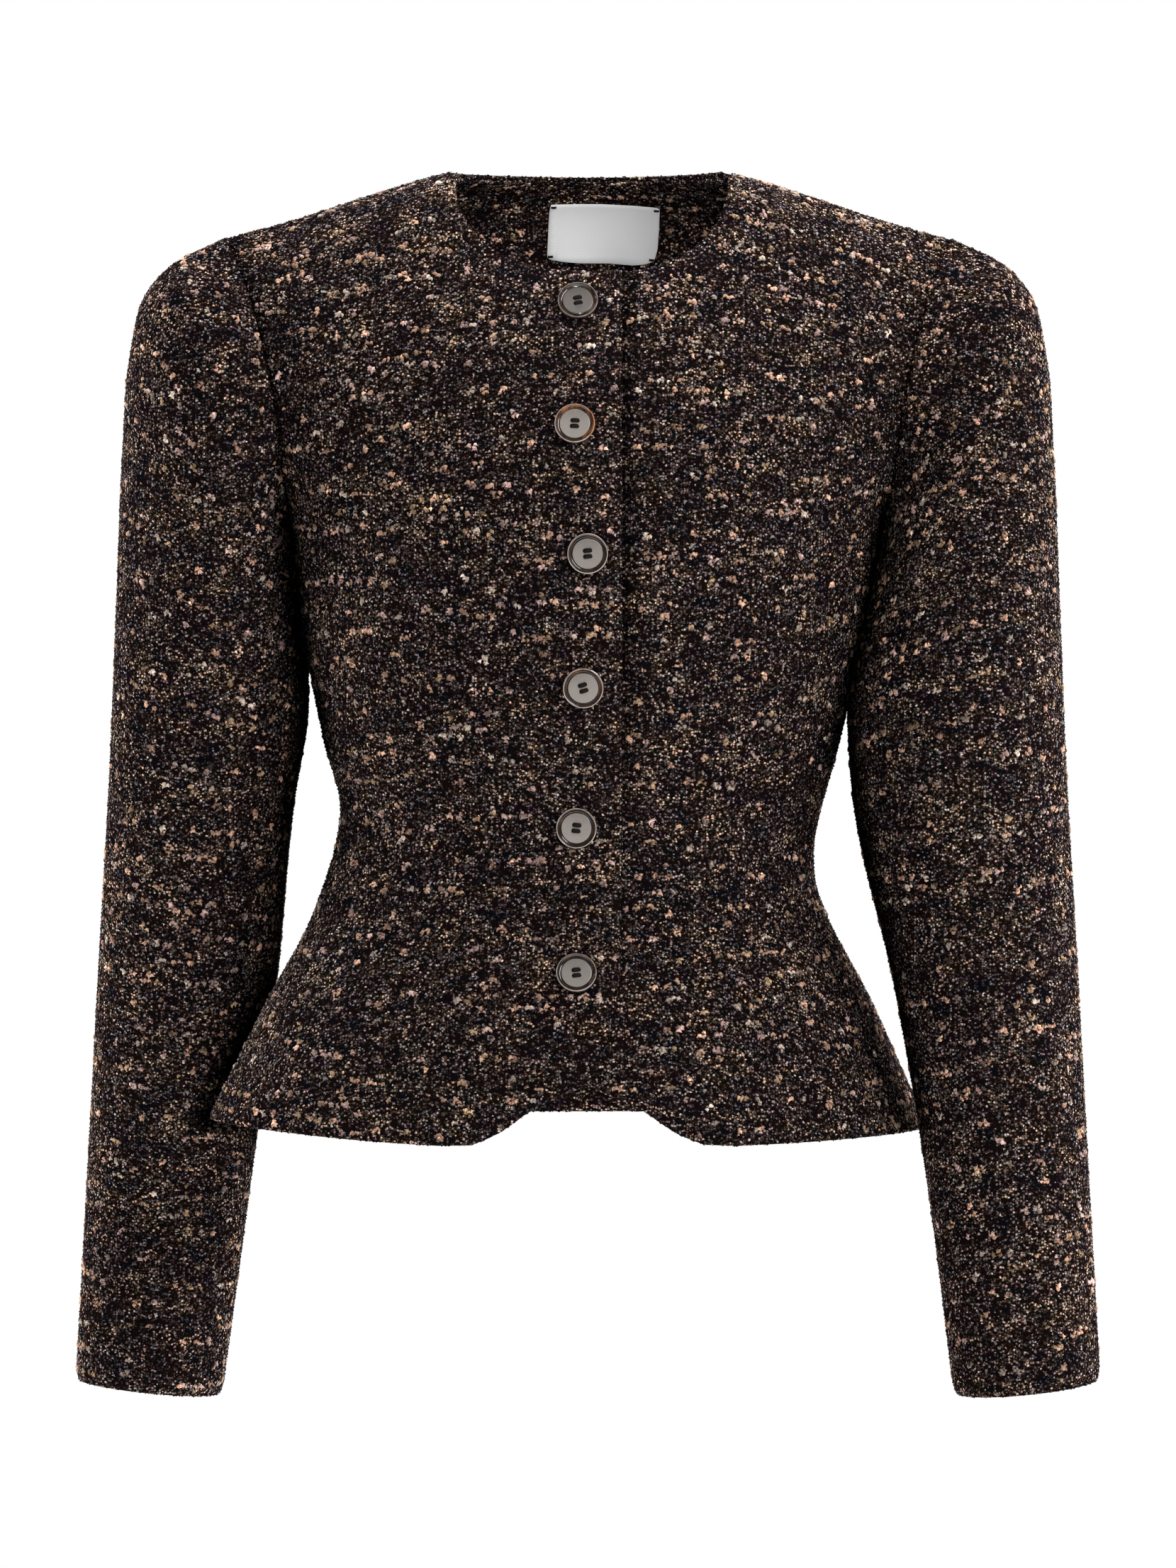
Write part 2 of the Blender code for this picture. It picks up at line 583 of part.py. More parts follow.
def button_blank(finish, collection):
    """A turned four-hole button, its back at z = 0 and its face towards +Z."""
    mesh = bpy.data.meshes.new("button_profile")
    points = [(radius * MM, 0.0, height * MM) for radius, height in BUTTON_PROFILE]
    mesh.from_pydata(points, [(i, i + 1) for i in range(len(points) - 1)], [])
    turned = bpy.data.objects.new("button_turned", mesh)
    collection.objects.link(turned)
    turn = turned.modifiers.new("turn", "SCREW")
    turn.steps = BUTTON_SIDES
    turn.render_steps = BUTTON_SIDES
    turn.use_merge_vertices = True
    turn.merge_threshold = 0.00001
    drills = bmesh.new()
    for x in (-HOLE_OFFSET, HOLE_OFFSET):
        for y in (-HOLE_OFFSET, HOLE_OFFSET):
            place = Matrix.Translation((x * MM, y * MM, 0.0))
            bmesh.ops.create_cone(drills, cap_ends=True, segments=HOLE_SIDES, radius1=HOLE_RADIUS * MM,
                                  radius2=HOLE_RADIUS * MM, depth=DRILL_LENGTH * MM, matrix=place)
    drill_mesh = bpy.data.meshes.new("button_drills")
    drills.to_mesh(drill_mesh)
    drills.free()
    drill = bpy.data.objects.new("button_drills", drill_mesh)
    collection.objects.link(drill)
    holes = turned.modifiers.new("holes", "BOOLEAN")
    holes.operation = "DIFFERENCE"
    holes.object = drill
    bpy.context.view_layer.update()
    made = bpy.data.meshes.new_from_object(turned.evaluated_get(bpy.context.evaluated_depsgraph_get()))
    made.materials.clear()
    made.materials.append(finish)
    bpy.data.objects.remove(turned)
    bpy.data.objects.remove(drill)
    return made


def buttons(finish, collection, workshop):
    """The six buttons down the right front, each standing on the cloth under it."""
    blank = button_blank(finish, workshop)
    for number, values in enumerate(BUTTONS, start=1):
        row = dict(zip(BUTTON_COLUMNS, values))
        depth = 0.0
        for _ in range(SEARCH_STEPS):
            target = as_seen(row["x"], row["z"], depth)
            place = TORSO.find([target], FRONT_XZ, TORSO.front["hem"], TORSO.front["yoke"])
            depth = TORSO.points(place[:, 0], place[:, 1])[0, 1]
        spot = TORSO.moved(place[:, 0], place[:, 1], row["stand"])[0]
        out = Vector(TORSO.normals(place[:, 0], place[:, 1])[0])
        made = bpy.data.objects.new(f"button_{number}", blank.copy())
        turned = out.to_track_quat("Z", "Y").to_matrix().to_4x4()
        made.matrix_world = (Matrix.Translation(Vector(spot) * MM) @ turned
                             @ Matrix.Rotation(math.radians(row["spin"]), 4, "Z"))
        collection.objects.link(made)


def main():
    """Clear the scene and make the jacket."""
    for old in list(bpy.data.objects):
        bpy.data.objects.remove(old)
    jacket = bpy.data.collections.new("boucle_jacket")
    workshop = bpy.data.collections.new("workshop")
    bpy.context.scene.collection.children.link(jacket)
    bpy.context.scene.collection.children.link(workshop)
    boucle = material("boucle", BOUCLE)
    front_panel("front_right", -1, boucle, jacket)
    front_panel("front_left", 1, boucle, jacket)
    back_neck_and_label(boucle, material("label_cloth", LABEL_CLOTH), jacket)
    sleeve("sleeve_right", -1, boucle, jacket)
    sleeve("sleeve_left", 1, boucle, jacket)
    buttons(material("horn", HORN), jacket, workshop)


main()
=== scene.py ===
"""Dresses the boucle jacket: cloth shells, yarn loops, slubs, label, buttons and a plain studio.

Run as a script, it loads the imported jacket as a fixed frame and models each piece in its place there.
Lengths in the tables are millimetres. +Z is up, the front faces -Y, and the wearer's right is at -X.
"""
import math

import bmesh
import bpy
import numpy as np
from bpy.props import FloatProperty, FloatVectorProperty, IntProperty, PointerProperty
from mathutils import Matrix, Vector
from mathutils.geometry import delaunay_2d_cdt


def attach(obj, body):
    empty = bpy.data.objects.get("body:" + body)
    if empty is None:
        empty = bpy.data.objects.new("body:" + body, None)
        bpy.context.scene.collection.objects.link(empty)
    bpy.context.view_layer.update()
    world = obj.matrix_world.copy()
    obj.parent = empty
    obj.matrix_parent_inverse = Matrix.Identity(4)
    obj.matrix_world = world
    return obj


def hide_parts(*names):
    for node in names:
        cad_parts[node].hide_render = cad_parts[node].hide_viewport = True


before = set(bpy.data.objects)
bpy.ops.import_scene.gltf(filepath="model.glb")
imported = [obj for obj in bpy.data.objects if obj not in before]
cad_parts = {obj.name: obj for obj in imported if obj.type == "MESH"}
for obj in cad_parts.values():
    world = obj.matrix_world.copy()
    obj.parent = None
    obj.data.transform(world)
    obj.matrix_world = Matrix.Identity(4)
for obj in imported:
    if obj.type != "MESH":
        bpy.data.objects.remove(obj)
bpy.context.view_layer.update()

bl_info = {
    "name": "Boucle Jacket",
    "version": (1, 0, 0),
    "blender": (4, 5, 0),
    "location": "3D View > Sidebar > Jacket",
    "description": "Dresses a boucle jacket and sets up its studio",
    "category": "Object",
}

BODY = "root"
MM = 0.001
HANDS = {-1: "right", 1: "left"}  # the wearer's

# Widths and heights in the tables are as seen from straight in front, on the plane through the origin
VIEW_DISTANCE = 3100.0
VIEW_HEIGHT = -332.0

# Torso, one row for each level from the hem to the shoulder line: z of the front, back, right and left,
# x and y of the side edges, y of the front and back centre, how far the armhole opens to the front and
# back of the edge, and the direction in which the cloth arrives there, in degrees
LEVEL_COLUMNS = ("z_front", "z_back", "z_right", "z_left", "x_right", "x_left", "y_right", "y_left",
                 "y_front", "y_back", "arm_front", "arm_back", "turn")
LEVELS = {
    "hem":          (-520, -516, -511, -515, -205, 184, -28, 24, -137, 140, 0, 0, 90),
    "hem_roll":     (-505, -503, -498, -503, -198.5, 178, -26, 22, -133, 136, 0, 0, 90),
    "peplum":       (-447, -447, -447, -447, -173, 152.5, -17, 14, -118, 119, 0, 0, 90),
    "hip":          (-401, -401, -401, -401, -148.8, 128.7, -8, 6, -101, 98, 0, 0, 90),
    "waist":        (-357, -357, -346, -369, -134.4, 122.5, -3, 2, -93, 87, 0, 0, 90),
    "ribs":         (-309, -309, -309, -309, -143.3, 136.6, 0, 0, -102, 94, 0, 0, 90),
    "under_bust":   (-258, -258, -258, -258, -153, 148.5, 2, 2, -111, 101, 0, 0, 90),
    "bust":         (-205, -205, -196, -198, -160.5, 158.5, 2, 2, -114, 107, 0, 0, 90),
    "armhole_low":  (-162, -162, -158, -160, -166, 167, 4, 4, -108, 110, 38, 42, 66),
    "armhole_mid":  (-118, -118, -118, -118, -171.5, 172.5, 5, 5, -97, 107, 49, 53, 58),
    "armhole_high": (-66, -66, -77, -77, -181, 182, 6, 6, -76, 93, 40, 43, 42),
    "yoke":         (2, 2, -48, -48, -191, 192, 6, 6, -37, 58, 19, 21, 18),
    "shoulder":     (9.5, 9.5, -35.4, -36.2, -195.5, 196.5, 6, 6, 8, 8, 0, 0, 0),
}
ROUND = 0.5523  # handle of a quarter round, as a share of its radius
STRAIGHT = 0.6  # share of that handle where a level arrives straight
SHORTER = 0.27  # and how much shorter the handle at the middle is there
SMALL_P = 0.003  # small moves over the form, for its directions
SMALL_W = 0.5
SEARCH = 81  # places tried each way, and steps taken, to find a point on the form
SEARCH_STEPS = 12
SMALLEST = 1e-6  # divisors are kept above these
TINY = 1e-9
FINE = 400  # short steps along a curve, to measure its length

# Neck: half width and centre of the opening, and its depths
NECK_HALF = 75.2
NECK_CENTRE = 2.0
NECK_FRONT_Z = -60.5
NECK_POINT_Z = 0.8
NECK_SQUARE = 2.5  # 2 is a round scoop, higher is squarer
NECK_BACK_Z = 3.0
NECK_CLEAR = 4.0  # the neckline leaves this room to the front edge
NECK_FRONT_POINTS = 61
NECK_BACK_POINTS = 33

# Front edges: how far the edge lies past the closure line, and its z
CLOSURE_X = 0.2
OVERLAP_HALF = 16.6
UNDER_LAY = 1.1  # gap between the two fronts
UNDER_RAMP = (20.0, 78.0)  # the left front steps in between these widths
FRONT_EDGE = (
    (OVERLAP_HALF, NECK_FRONT_Z), (OVERLAP_HALF, -150), (OVERLAP_HALF, -280), (OVERLAP_HALF, -405),
    (12.0, -452), (0.0, -484.5), (-31.3, -501), (-48.0, -512.5), (-61.0, -518.2),
)
CUTAWAY_END = -78.0

# Sleeves, one row for each ring from the head to the cuff: its outer and inner point as seen from in
# front, and its middle and half depth in y
RING_COLUMNS = ("z_outer", "x_outer", "z_inner", "x_inner_right", "x_inner_left",
                "y_right", "y_left", "half_depth")
RINGS = {
    "crown":   (-48.5, 223.0, -203, 159.4, 157.4, 6, 5, 57),
    "head":    (-65, 239.2, -207, 158.0, 155.8, 8, 3, 60),
    "cap":     (-99, 248.3, -214, 155.8, 153.6, 11, -1, 62),
    "upper":   (-150, 252.3, -236, 153.0, 150.6, 19, -13, 62),
    "biceps":  (-230, 255.6, -286, 151.6, 140.6, 30, -32, 59),
    "elbow":   (-330, 259.7, -342, 159.4, 144.0, 40, -38, 55),
    "forearm": (-430, 265.4, -441, 169.0, 166.0, 62, -46, 50),
    "lower":   (-540, 271.3, -548, 183.0, 184.0, 88, -62, 45),
    "cuff":    (-653.5, 277.7, -662, 198.5, 198.5, 100, -74, 40),
}
HEAD_RISE = 9.0  # the head first rises this far off the seam, and at the armpit by this share of it
HEAD_RISE_LOW = 0.3
HEAD_LEAVES_TOP = np.array((0.94, 0.0, -0.45))
HEAD_LEAVES_LOW = np.array((0.13, 0.0, -1.0))
HEAD_LEAVES_SIDE = np.array((0.0, -0.55, 0.0))
SLEEVE_STEP = 0.5  # the sleeve stands this far out of the panels at the seam
SEAM_ROW = 2.6  # the first row of mesh points lies this far from the seam
SLEEVE_AROUND = 80  # points round a sleeve
CUFF_ROW = 2.8  # the last row of mesh points lies this far from the cuff
CUFF_TURN = 1.3  # the cuff is turned in this far

# Label and facing inside the back neck
LABEL_WIDTH = 60.0
LABEL_HEIGHT = 31.0
LABEL_CENTRE = (8.5, -34.0)
LABEL_Y = 72.0
FACING_SHOULDER = 0.66  # p at which the facing ends on the shoulder
FACING_DEPTH = 92.0
FACING_POWER = 0.7
FACING_POINTS = 33
LAY = 0.4  # gap to the cloth that they lie on

# Buttons: x and z as seen from in front, turn in degrees, how far the thread holds the button off the
# cloth, and how amber and how pale its horn is
BUTTON_COLUMNS = ("x", "z", "spin", "stand", "amber", "tone")
BUTTONS = (
    (-5.5, -69.5, 8, 0.5, 0.1, 0.42),
    (-7.2, -136.3, -6, 0.7, 0.85, 0.94),
    (-0.2, -207.0, 2, 0.7, 0.05, 0.93),
    (-2.6, -280.0, 14, 0.7, 0.25, 0.95),
    (-6.3, -356.0, -9, 0.95, 0.1, 0.95),
    (-6.3, -434.4, 4, 0.45, 0.12, 0.8),
)

SEAM = 0.08  # a panel stops this far short of its seam line
SEAM_TURN = 4.3  # a sleeve's edge is turned in this far at the armhole
SEAM_LAP = 4.0  # and then lies this far under the panels
SEAM_ROWS = 2  # rows of mesh points that this takes
SEAM_DIP = 0.4  # the cloth sinks this far along a seam
SEAM_REACH = 3.0
ROW_SHARE = 0.87  # rows of mesh points are this much closer than the points in a row
CUT_INSIDE = 1  # fills the inside of an outline only, and joins points nearer than this
CUT_JOIN = 1e-5
EDGE_CLEAR = 0.55  # mesh points stay this share of their spacing away from an edge
FLAT_WIDTH = 190.0  # width that the flat layout of a panel gives to one side of a level
CUT_LEVELS = 40  # levels at which a panel's width is measured

# Creases: place, lean in degrees (0 is level, 90 upright), length, width, and depth (a trough is negative,
# a ridge positive). The place is x and z as seen from in front, or on a sleeve degrees round it (0 is
# outside, 90 front, 180 inside, 270 back) and z
CREASE_COLUMNS = ("place", "z", "lean", "length", "width", "depth")
TORSO_CREASES = {
    "front": (
        (-50, -146, 12, 74, 8, -0.9), (58, -190, -4, 104, 10, 1.3), (56, -203, -3, 92, 8, -1.3),
        (-52, -214, 6, 66, 7, -0.9), (54, -268, 4, 84, 9, -1.1), (-44, -289, -5, 58, 7, -0.8),
        (50, -347, -7, 70, 8, -1.1), (-58, -363, 9, 64, 8, -1.0), (-77, -322, 85, 124, 15, -2.1),
        (89, -326, 96, 112, 15, -1.9), (-112, -296, 66, 70, 10, 1.2), (116, -288, 118, 64, 10, 1.1),
        (-126, -222, 58, 76, 11, -1.7), (128, -226, 124, 70, 11, -1.6), (-104, -352, 6, 52, 8, -1.2),
        (103, -366, -5, 44, 8, -1.1), (-150, -482, 72, 96, 17, 2.4), (-104, -478, 84, 88, 15, -1.9),
        (96, -480, 96, 84, 15, -1.7), (138, -484, 108, 88, 16, 2.1), (-126, -88, 74, 62, 12, -1.2),
        (128, -92, 106, 58, 12, -1.1),
    ),
    "back": (
        (-70, -330, 94, 150, 16, -2.2), (66, -326, 87, 146, 16, -2.1), (-96, -362, 5, 70, 9, -1.4),
        (88, -368, -6, 62, 9, -1.3), (4, -352, 3, 96, 9, -1.2), (-8, -338, -2, 120, 10, 1.1),
        (-120, -176, 60, 96, 12, -1.9), (122, -182, 121, 90, 12, -1.8), (-144, -228, 52, 58, 9, -1.3),
        (140, -236, 126, 54, 9, -1.2), (-128, -484, 78, 92, 17, 2.4), (-62, -482, 88, 86, 16, -1.8),
        (18, -484, 91, 90, 17, 2.0), (84, -480, 97, 86, 16, -1.9), (142, -486, 104, 84, 16, 2.2),
    ),
}
SLEEVE_CREASES = {
    "right": (
        (128, -306, 14, 74, 8, -1.9), (122, -326, 9, 88, 8, 1.5), (132, -347, -7, 80, 8, -2.1),
        (118, -372, -16, 62, 8, 1.2), (140, -246, 31, 72, 9, -1.8), (112, -222, 38, 60, 9, 1.1),
        (58, -338, 3, 46, 9, -1.0), (70, -452, 68, 118, 12, -1.3), (36, -500, 79, 132, 13, 1.2),
        (96, -574, 58, 74, 11, -1.2), (250, -318, -12, 76, 9, -1.6), (262, -352, 8, 70, 9, -1.4),
        (236, -236, -34, 68, 10, -1.7), (288, -486, 98, 120, 13, -1.2),
    ),
    "left": (
        (134, -296, 18, 70, 8, -1.8), (124, -318, 11, 84, 8, 1.4), (130, -338, -4, 82, 8, -2.0),
        (116, -362, -14, 66, 8, 1.2), (138, -252, 33, 66, 9, -1.7), (62, -350, 2, 48, 9, -0.9),
        (74, -432, 72, 110, 12, -1.3), (44, -512, 82, 126, 13, 1.2), (100, -556, 61, 70, 11, -1.1),
        (248, -326, -10, 74, 9, -1.6), (258, -360, 9, 66, 9, -1.3), (238, -242, -36, 64, 10, -1.6),
        (292, -470, 96, 118, 13, -1.2),
    ),
}

# Yarn loops and slub curls as small closed shapes: along, across and up, as shares of their size
LOOP_POINTS = np.array(((-0.5, -0.4, -0.3), (0.5, -0.4, -0.3), (0.05, 0.55, -0.3), (0.0, -0.08, 1.0)))
LOOP_FACES = ((0, 1, 3), (1, 2, 3), (2, 0, 3), (2, 1, 0))
CURL_BEND = 0.34
CURL_POINTS = np.array((
    (-0.5, -CURL_BEND, -0.3),
    (-0.2, -0.5 + CURL_BEND, -0.3), (-0.2, CURL_BEND, 1.0), (-0.2, 0.5 + CURL_BEND, -0.3),
    (0.2, -0.5 + CURL_BEND, -0.3), (0.2, CURL_BEND, 0.9), (0.2, 0.5 + CURL_BEND, -0.3),
    (0.5, -CURL_BEND, -0.3),
))
CURL_FACES = ((0, 1, 2), (0, 2, 3), (1, 4, 5, 2), (2, 5, 6, 3), (4, 7, 5), (5, 7, 6), (0, 3, 6, 7, 4, 1))
LOOP_SIZE = np.array((1.75, 1.2, 0.42))  # length, width, height
CURL_SIZE = np.array((2.7, 1.6, 0.55))
SIZE_SWING = 0.38  # how much loops differ in size
SHAPE_SWING = 0.15  # and in length, width and height
TURN_SWING = 0.75  # how far loops turn from the weft, in radians
# the colour kept for each loop includes painted shade beside the arms, along the armhole seams and beside the
# closure
YARN = "yarn"  # colour of each loop on its mesh
BAKE_MAP = "OFBake"  # one small square of this map for each loop or curl
BAKE_INSET = 0.12
BAKE_CLEAR = 0.05

# Yarn: where its rows lie
SEEDS = {"front_right": 0, "front_left": 10, "back": 20, "back_neck_facing": 30, "sleeve_right": 30,
         "sleeve_left": 50}
FIELD_SPACING = 12.0  # outline points for yarn are this far apart
ROW_STEPS = 160  # points that measure a row
ROW_JITTER = 0.75
YARN_CLEAR = 0.8  # yarn stays this far from a panel's edge
EDGE_PITCH = 2.2  # spacing of loops along a free edge
EDGE_ROWS = 2  # and the rows of them round it
RIM_BULGE = 0.5  # a free edge is rounded out by this share of the cloth
SLUB_CURLS = (4, 7)  # a slub has at least the first and fewer than the second
SLUB_SPREAD = np.array((1.2, 0.85))  # of its curls along and across the weft
SLUB_RISE = 0.2
SLUB_CHANCE = 0.62  # share of the places that have a slub, and how much more in pale patches
SLUB_PATCHES = 1.5
SLUB_RUN = 7.5  # spacing of slubs that follow each other along the weft
RUN_SHARE = 0.3  # share of the slubs that another follows, and of those that a third follows
RUN_ON = 0.5
CURL_SHARE = 0.85  # single curls are this much closer than slubs

# Yarn: how its colours vary
PATCH_SIZES = ((52.0, 19.0), (17.0, 5.5))  # along the weft and over the rows, large and small
PATCH_LATTICE = 97
LARGE_SHARE = 0.55  # of the large patches, against the small ones
TONE_SWING = 0.47  # how much the patches shift the yarn's tone
PATCH_HUE = np.array((0.45, 0.1, -1.1))  # pale patches are warmer and dark ones more violet
LOOP_TONES = (0.45, 0.76)  # tones below the first are dark loops, above the second pale ones
CURL_TONE = 0.72  # single curls above this tone are pale
YARN_SWING = 0.28  # how much lighter or darker one loop is, and one curl of a slub
CURL_SWING = 0.3

# Shade, painted where loops of real depth would hide the light
SHADE = "shade"  # how dark the cloth is at each point
SEAM_SHADE = ((-150.0, -60.0), (0.5, 1.0))  # heights, and the shade of the armhole seam there
UNDER_SHADE = 0.88  # the left front loses this much light beside the right one's edge
UNDER_DARK = 11.0  # the dark strip there is this wide
UNDER_END = (-430.0, -250.0)  # it fades out between these heights
# the bare strip of dark ground that this leaves beside the right front's edge is a painted shadow of that
# edge
OVERLAP_CLEAR = 2.0  # yarn of the left front starts this far past the right one's edge
OVERLAP_LOW = -470.0  # above this height
ARM_DARK = 8.0  # the dark strip beside an arm is this wide, on the body and on the sleeve
SLEEVE_DARK = 13.0
ARM_SHADE = 0.04  # light that is left there
ARM_FADE = 24.0  # the strips fade out over this height
ARM_REACH = (-168.0, -335.0)  # heights that they reach, on the body and on the sleeve
SLEEVE_REACH = (-168.0, -540.0)
SLEEVE_FRONT = 0.25  # share of a low sleeve's shade that is left at the middle of its depth
HEM_OUT = 4.0  # the hem is seen this far beyond its side edge
HEM_LOW = -521.0  # and down to this height

# Weave under the loops, as shown by its material
SPECK_SCALE = 720.0  # curls in a metre
SPECK_WANDER = (0.0011, 0.0011, 0.0011)  # how far they stray, in metres
WEFT_STRETCH = (1, 1, 1.8)  # patches are longer along the weft
COOL_CURL = (0.92, 1.0, 1.06)  # tints of the curls
WARM_CURL = (1.24, 0.93, 0.75)
PINK_CURL = (1.2, 0.87, 0.84)
DARK_PATCH = (0.88, 0.93, 1.22)
PALE_PATCH = (1.1, 1.03, 0.84)

# Turned button, from the outside of its back up and over the rim to the middle: radius and height
BUTTON_BACK = 8.4
BUTTON_STEPS = ((10.6, 1.3), (10.75, 2.55), (10.6, 3.05), (10.25, 3.33), (9.95, 3.34), (9.6, 3.12),
                (9.2, 2.5), (8.85, 2.02), (8.5, 1.88), (8.32, 1.98), (8.12, 2.3), (7.85, 2.45), (7.3, 2.45),
                (3.7, 2.32))
BUTTON_SIDES = 72
BUTTON_TOP = 0.9  # a face on top points up by this share
BUTTON_MIDDLE = 2.4  # the middle of the face is this far out
BUTTON_FACE = 7.9  # the satin disc reaches this far from the middle
BUTTON_FACE_LOW = 1.5  # and lies above this height
BUTTON_SMOOTH = 32.0  # edges under this angle are smooth
BUTTON_CLEAR = 11.6  # no loops lie nearer to a button's middle
HOLE_OFFSET = 1.55
HOLE_RADIUS = 0.95
HOLE_DEPTH = 20.0
HOLE_SIDES = 18
SORT_WAY = Vector((0.531, 0.317, 0.786))  # cut faces are put in order this way, the same in each run
THREAD_RADIUS = 0.58
THREAD_TILT = 3.5  # slope of the sewing over the face, in degrees
THREAD_START = 2.3  # height at which a thread leaves its hole, this far past the hole's middle
THREAD_PAST = 0.5
THREAD_RISE = 0.42  # how high it lies over the face, and the middle one of three more
THREAD_MIDDLE = 0.12
TURNING_MAP = "turning"
AMBER_SIDE = (0.4, 0.6, 0.0)  # towards this side a rim is more amber
TUBE_SIDES = 7
TUBE_TURN = (0.31, 0.17, 0.53)  # any direction that no thread runs in
ARCH_POINTS = 9
ARCH_SINK = 0.9  # the ends of a thread go this deep

# Edge of the label as seen from in front, and the inner ends of its corner tacks
LABEL_EDGE = ((-19.9, -18.1), (-20.8, -22.2), (-21.4, -32.9), (-22.0, -46.2), (-20.6, -47.3), (-14.0, -48.6),
              (-4.2, -49.4), (10.5, -49.4), (24.3, -50.5), (31.1, -50.0), (35.8, -48.3), (37.5, -41.7),
              (38.3, -30.9), (38.6, -20.4), (37.2, -19.8), (25.2, -18.7), (7.6, -17.8), (-6.0, -17.8))
LABEL_TACKS = ((-19.6, -19.3, 1), (38.2, -21.2, -1), (-21.4, -46.0, 1), (35.6, -47.9, -1))
LABEL_MESH = 2.4  # spacing of its mesh points
LABEL_CLOTH = 0.6
LABEL_LIFT = 1.9  # its lower edge stands off this far
LABEL_WAVE = 0.4  # share of that which comes and goes along the edge
LABEL_WAVES = 1.3  # how many times it does, and where it starts
LABEL_WAVE_START = 0.5
LABEL_CLEAR = 0.6  # no loops of the facing lie nearer to its edge
FACING_CLOTH = 1.8
SEEN_STEPS = 6  # steps taken to find a place that is seen where it should be
TACK_LENGTH = 2.6
TACK_RADIUS = 0.34
TACK_PAST = 0.5  # a tack starts this far past the label's edge
TACK_SLOPE = 0.15
TACK_APART = 0.27  # half the distance between its two strands, which grows by this share
TACK_SPREAD = 1.4
TACK_RISE = 0.3

# Studio lights: place and width in metres, the setting that gives the power, and a share of it
LIGHTS = (
    ("key_light", (2.1, -2.3, 1.6), 2.0, "key", 1.0),
    ("front_fill", (-1.4, -2.7, 0.2), 2.0, "key", 0.03),
    ("right_strip", (-2.2, 0.75, 0.25), 1.2, "side", 1.75),
    ("left_strip", (2.2, 0.75, 0.25), 1.2, "side", 1.75),
    ("top_light", (-0.2, 0.6, 2.3), 1.4, "side", 2.6),
)
NOT_MIRRORED = "top_light"  # this light isn't seen in the buttons
LIGHT_AIM = (0.0, 0.0, -0.33)
NECK_LIGHT_SPOT = (0.2, -2.7, 0.35)
NECK_LIGHT_AIM = (0.008, 0.06, -0.025)
NECK_LIGHT_ANGLE = 4.2
NECK_LIGHT_BLEND = 0.8
NECK_LIGHT_SIZE = 0.12
FLOOR_RADIUS = 4.0
FLOOR_SIDES = 96


def named(columns, rows):
    """Rows of a table, with a name for each number."""
    return [dict(zip(columns, row)) for row in rows]


def as_seen(x, z, y):
    """Bring a width and height seen from in front to the depth y at which they lie."""
    scale = (VIEW_DISTANCE + y) / VIEW_DISTANCE
    return x * scale, VIEW_HEIGHT + (z - VIEW_HEIGHT) * scale


def spot_seen(x, z, y):
    """The point at the depth y that is seen from in front at a width and height."""
    x, z = as_seen(x, z, y)
    return np.array((x, y, z))


def smooth(knots, rows, at):
    """Rows of numbers at the given places, on a smooth curve through the rows at the knots.

    The curve is level at a row where the numbers turn back, so it never swings past that row.
    """
    knots = np.asarray(knots, float)
    rows = np.asarray(rows, float)
    steps = np.diff(knots)
    rates = np.diff(rows, axis=0) / steps[:, None]
    before = steps[:-1, None]
    after = steps[1:, None]
    inner = (rates[:-1] * after + rates[1:] * before) / (before + after)
    slopes = np.concatenate([rates[:1], inner * (rates[:-1] * rates[1:] > 0), rates[-1:]])
    at = np.clip(np.asarray(at, float), knots[0], knots[-1])
    i = np.clip(np.searchsorted(knots, at, side="right") - 1, 0, len(steps) - 1)
    h = steps[i][:, None]
    t = (at - knots[i])[:, None] / h
    return (rows[i] * (1 + 2 * t) * (1 - t) ** 2 + rows[i + 1] * t * t * (3 - 2 * t)
            + h * (slopes[i] * t * (1 - t) ** 2 - slopes[i + 1] * t * t * (1 - t)))


def ease(t):
    """A smooth step from 0 to 1."""
    return t * t * (3 - 2 * t)


def chord_knots(points):
    """Distances along a row of points."""
    return np.concatenate([[0.0], np.cumsum(np.linalg.norm(np.diff(points, axis=0), axis=1))])


def spread(rows, spacing):
    """Points along a smooth curve through the rows, about the given spacing apart."""
    knots = chord_knots(np.asarray(rows, float))
    fine = smooth(knots, rows, np.linspace(knots[0], knots[-1], FINE))
    length = chord_knots(fine)
    count = max(2, int(round(length[-1] / spacing)) + 1)
    places = np.linspace(0.0, length[-1], count)
    return np.column_stack([np.interp(places, length, fine[:, k]) for k in range(fine.shape[1])])


def unit(vectors):
    """Vectors made one long."""
    return vectors / np.maximum(np.linalg.norm(vectors, axis=-1, keepdims=True), TINY)


def crease_depth(across, along, row):
    """Depth of one crease at distances from its middle, across and along the cloth."""
    lean = math.radians(row["lean"])
    run = across * math.cos(lean) + along * math.sin(lean)
    off = along * math.cos(lean) - across * math.sin(lean)
    fade = np.clip(1 - (2 * run / row["length"]) ** 2, 0, 1) ** 2
    return row["depth"] * fade * np.exp(-(off / row["width"]) ** 2)


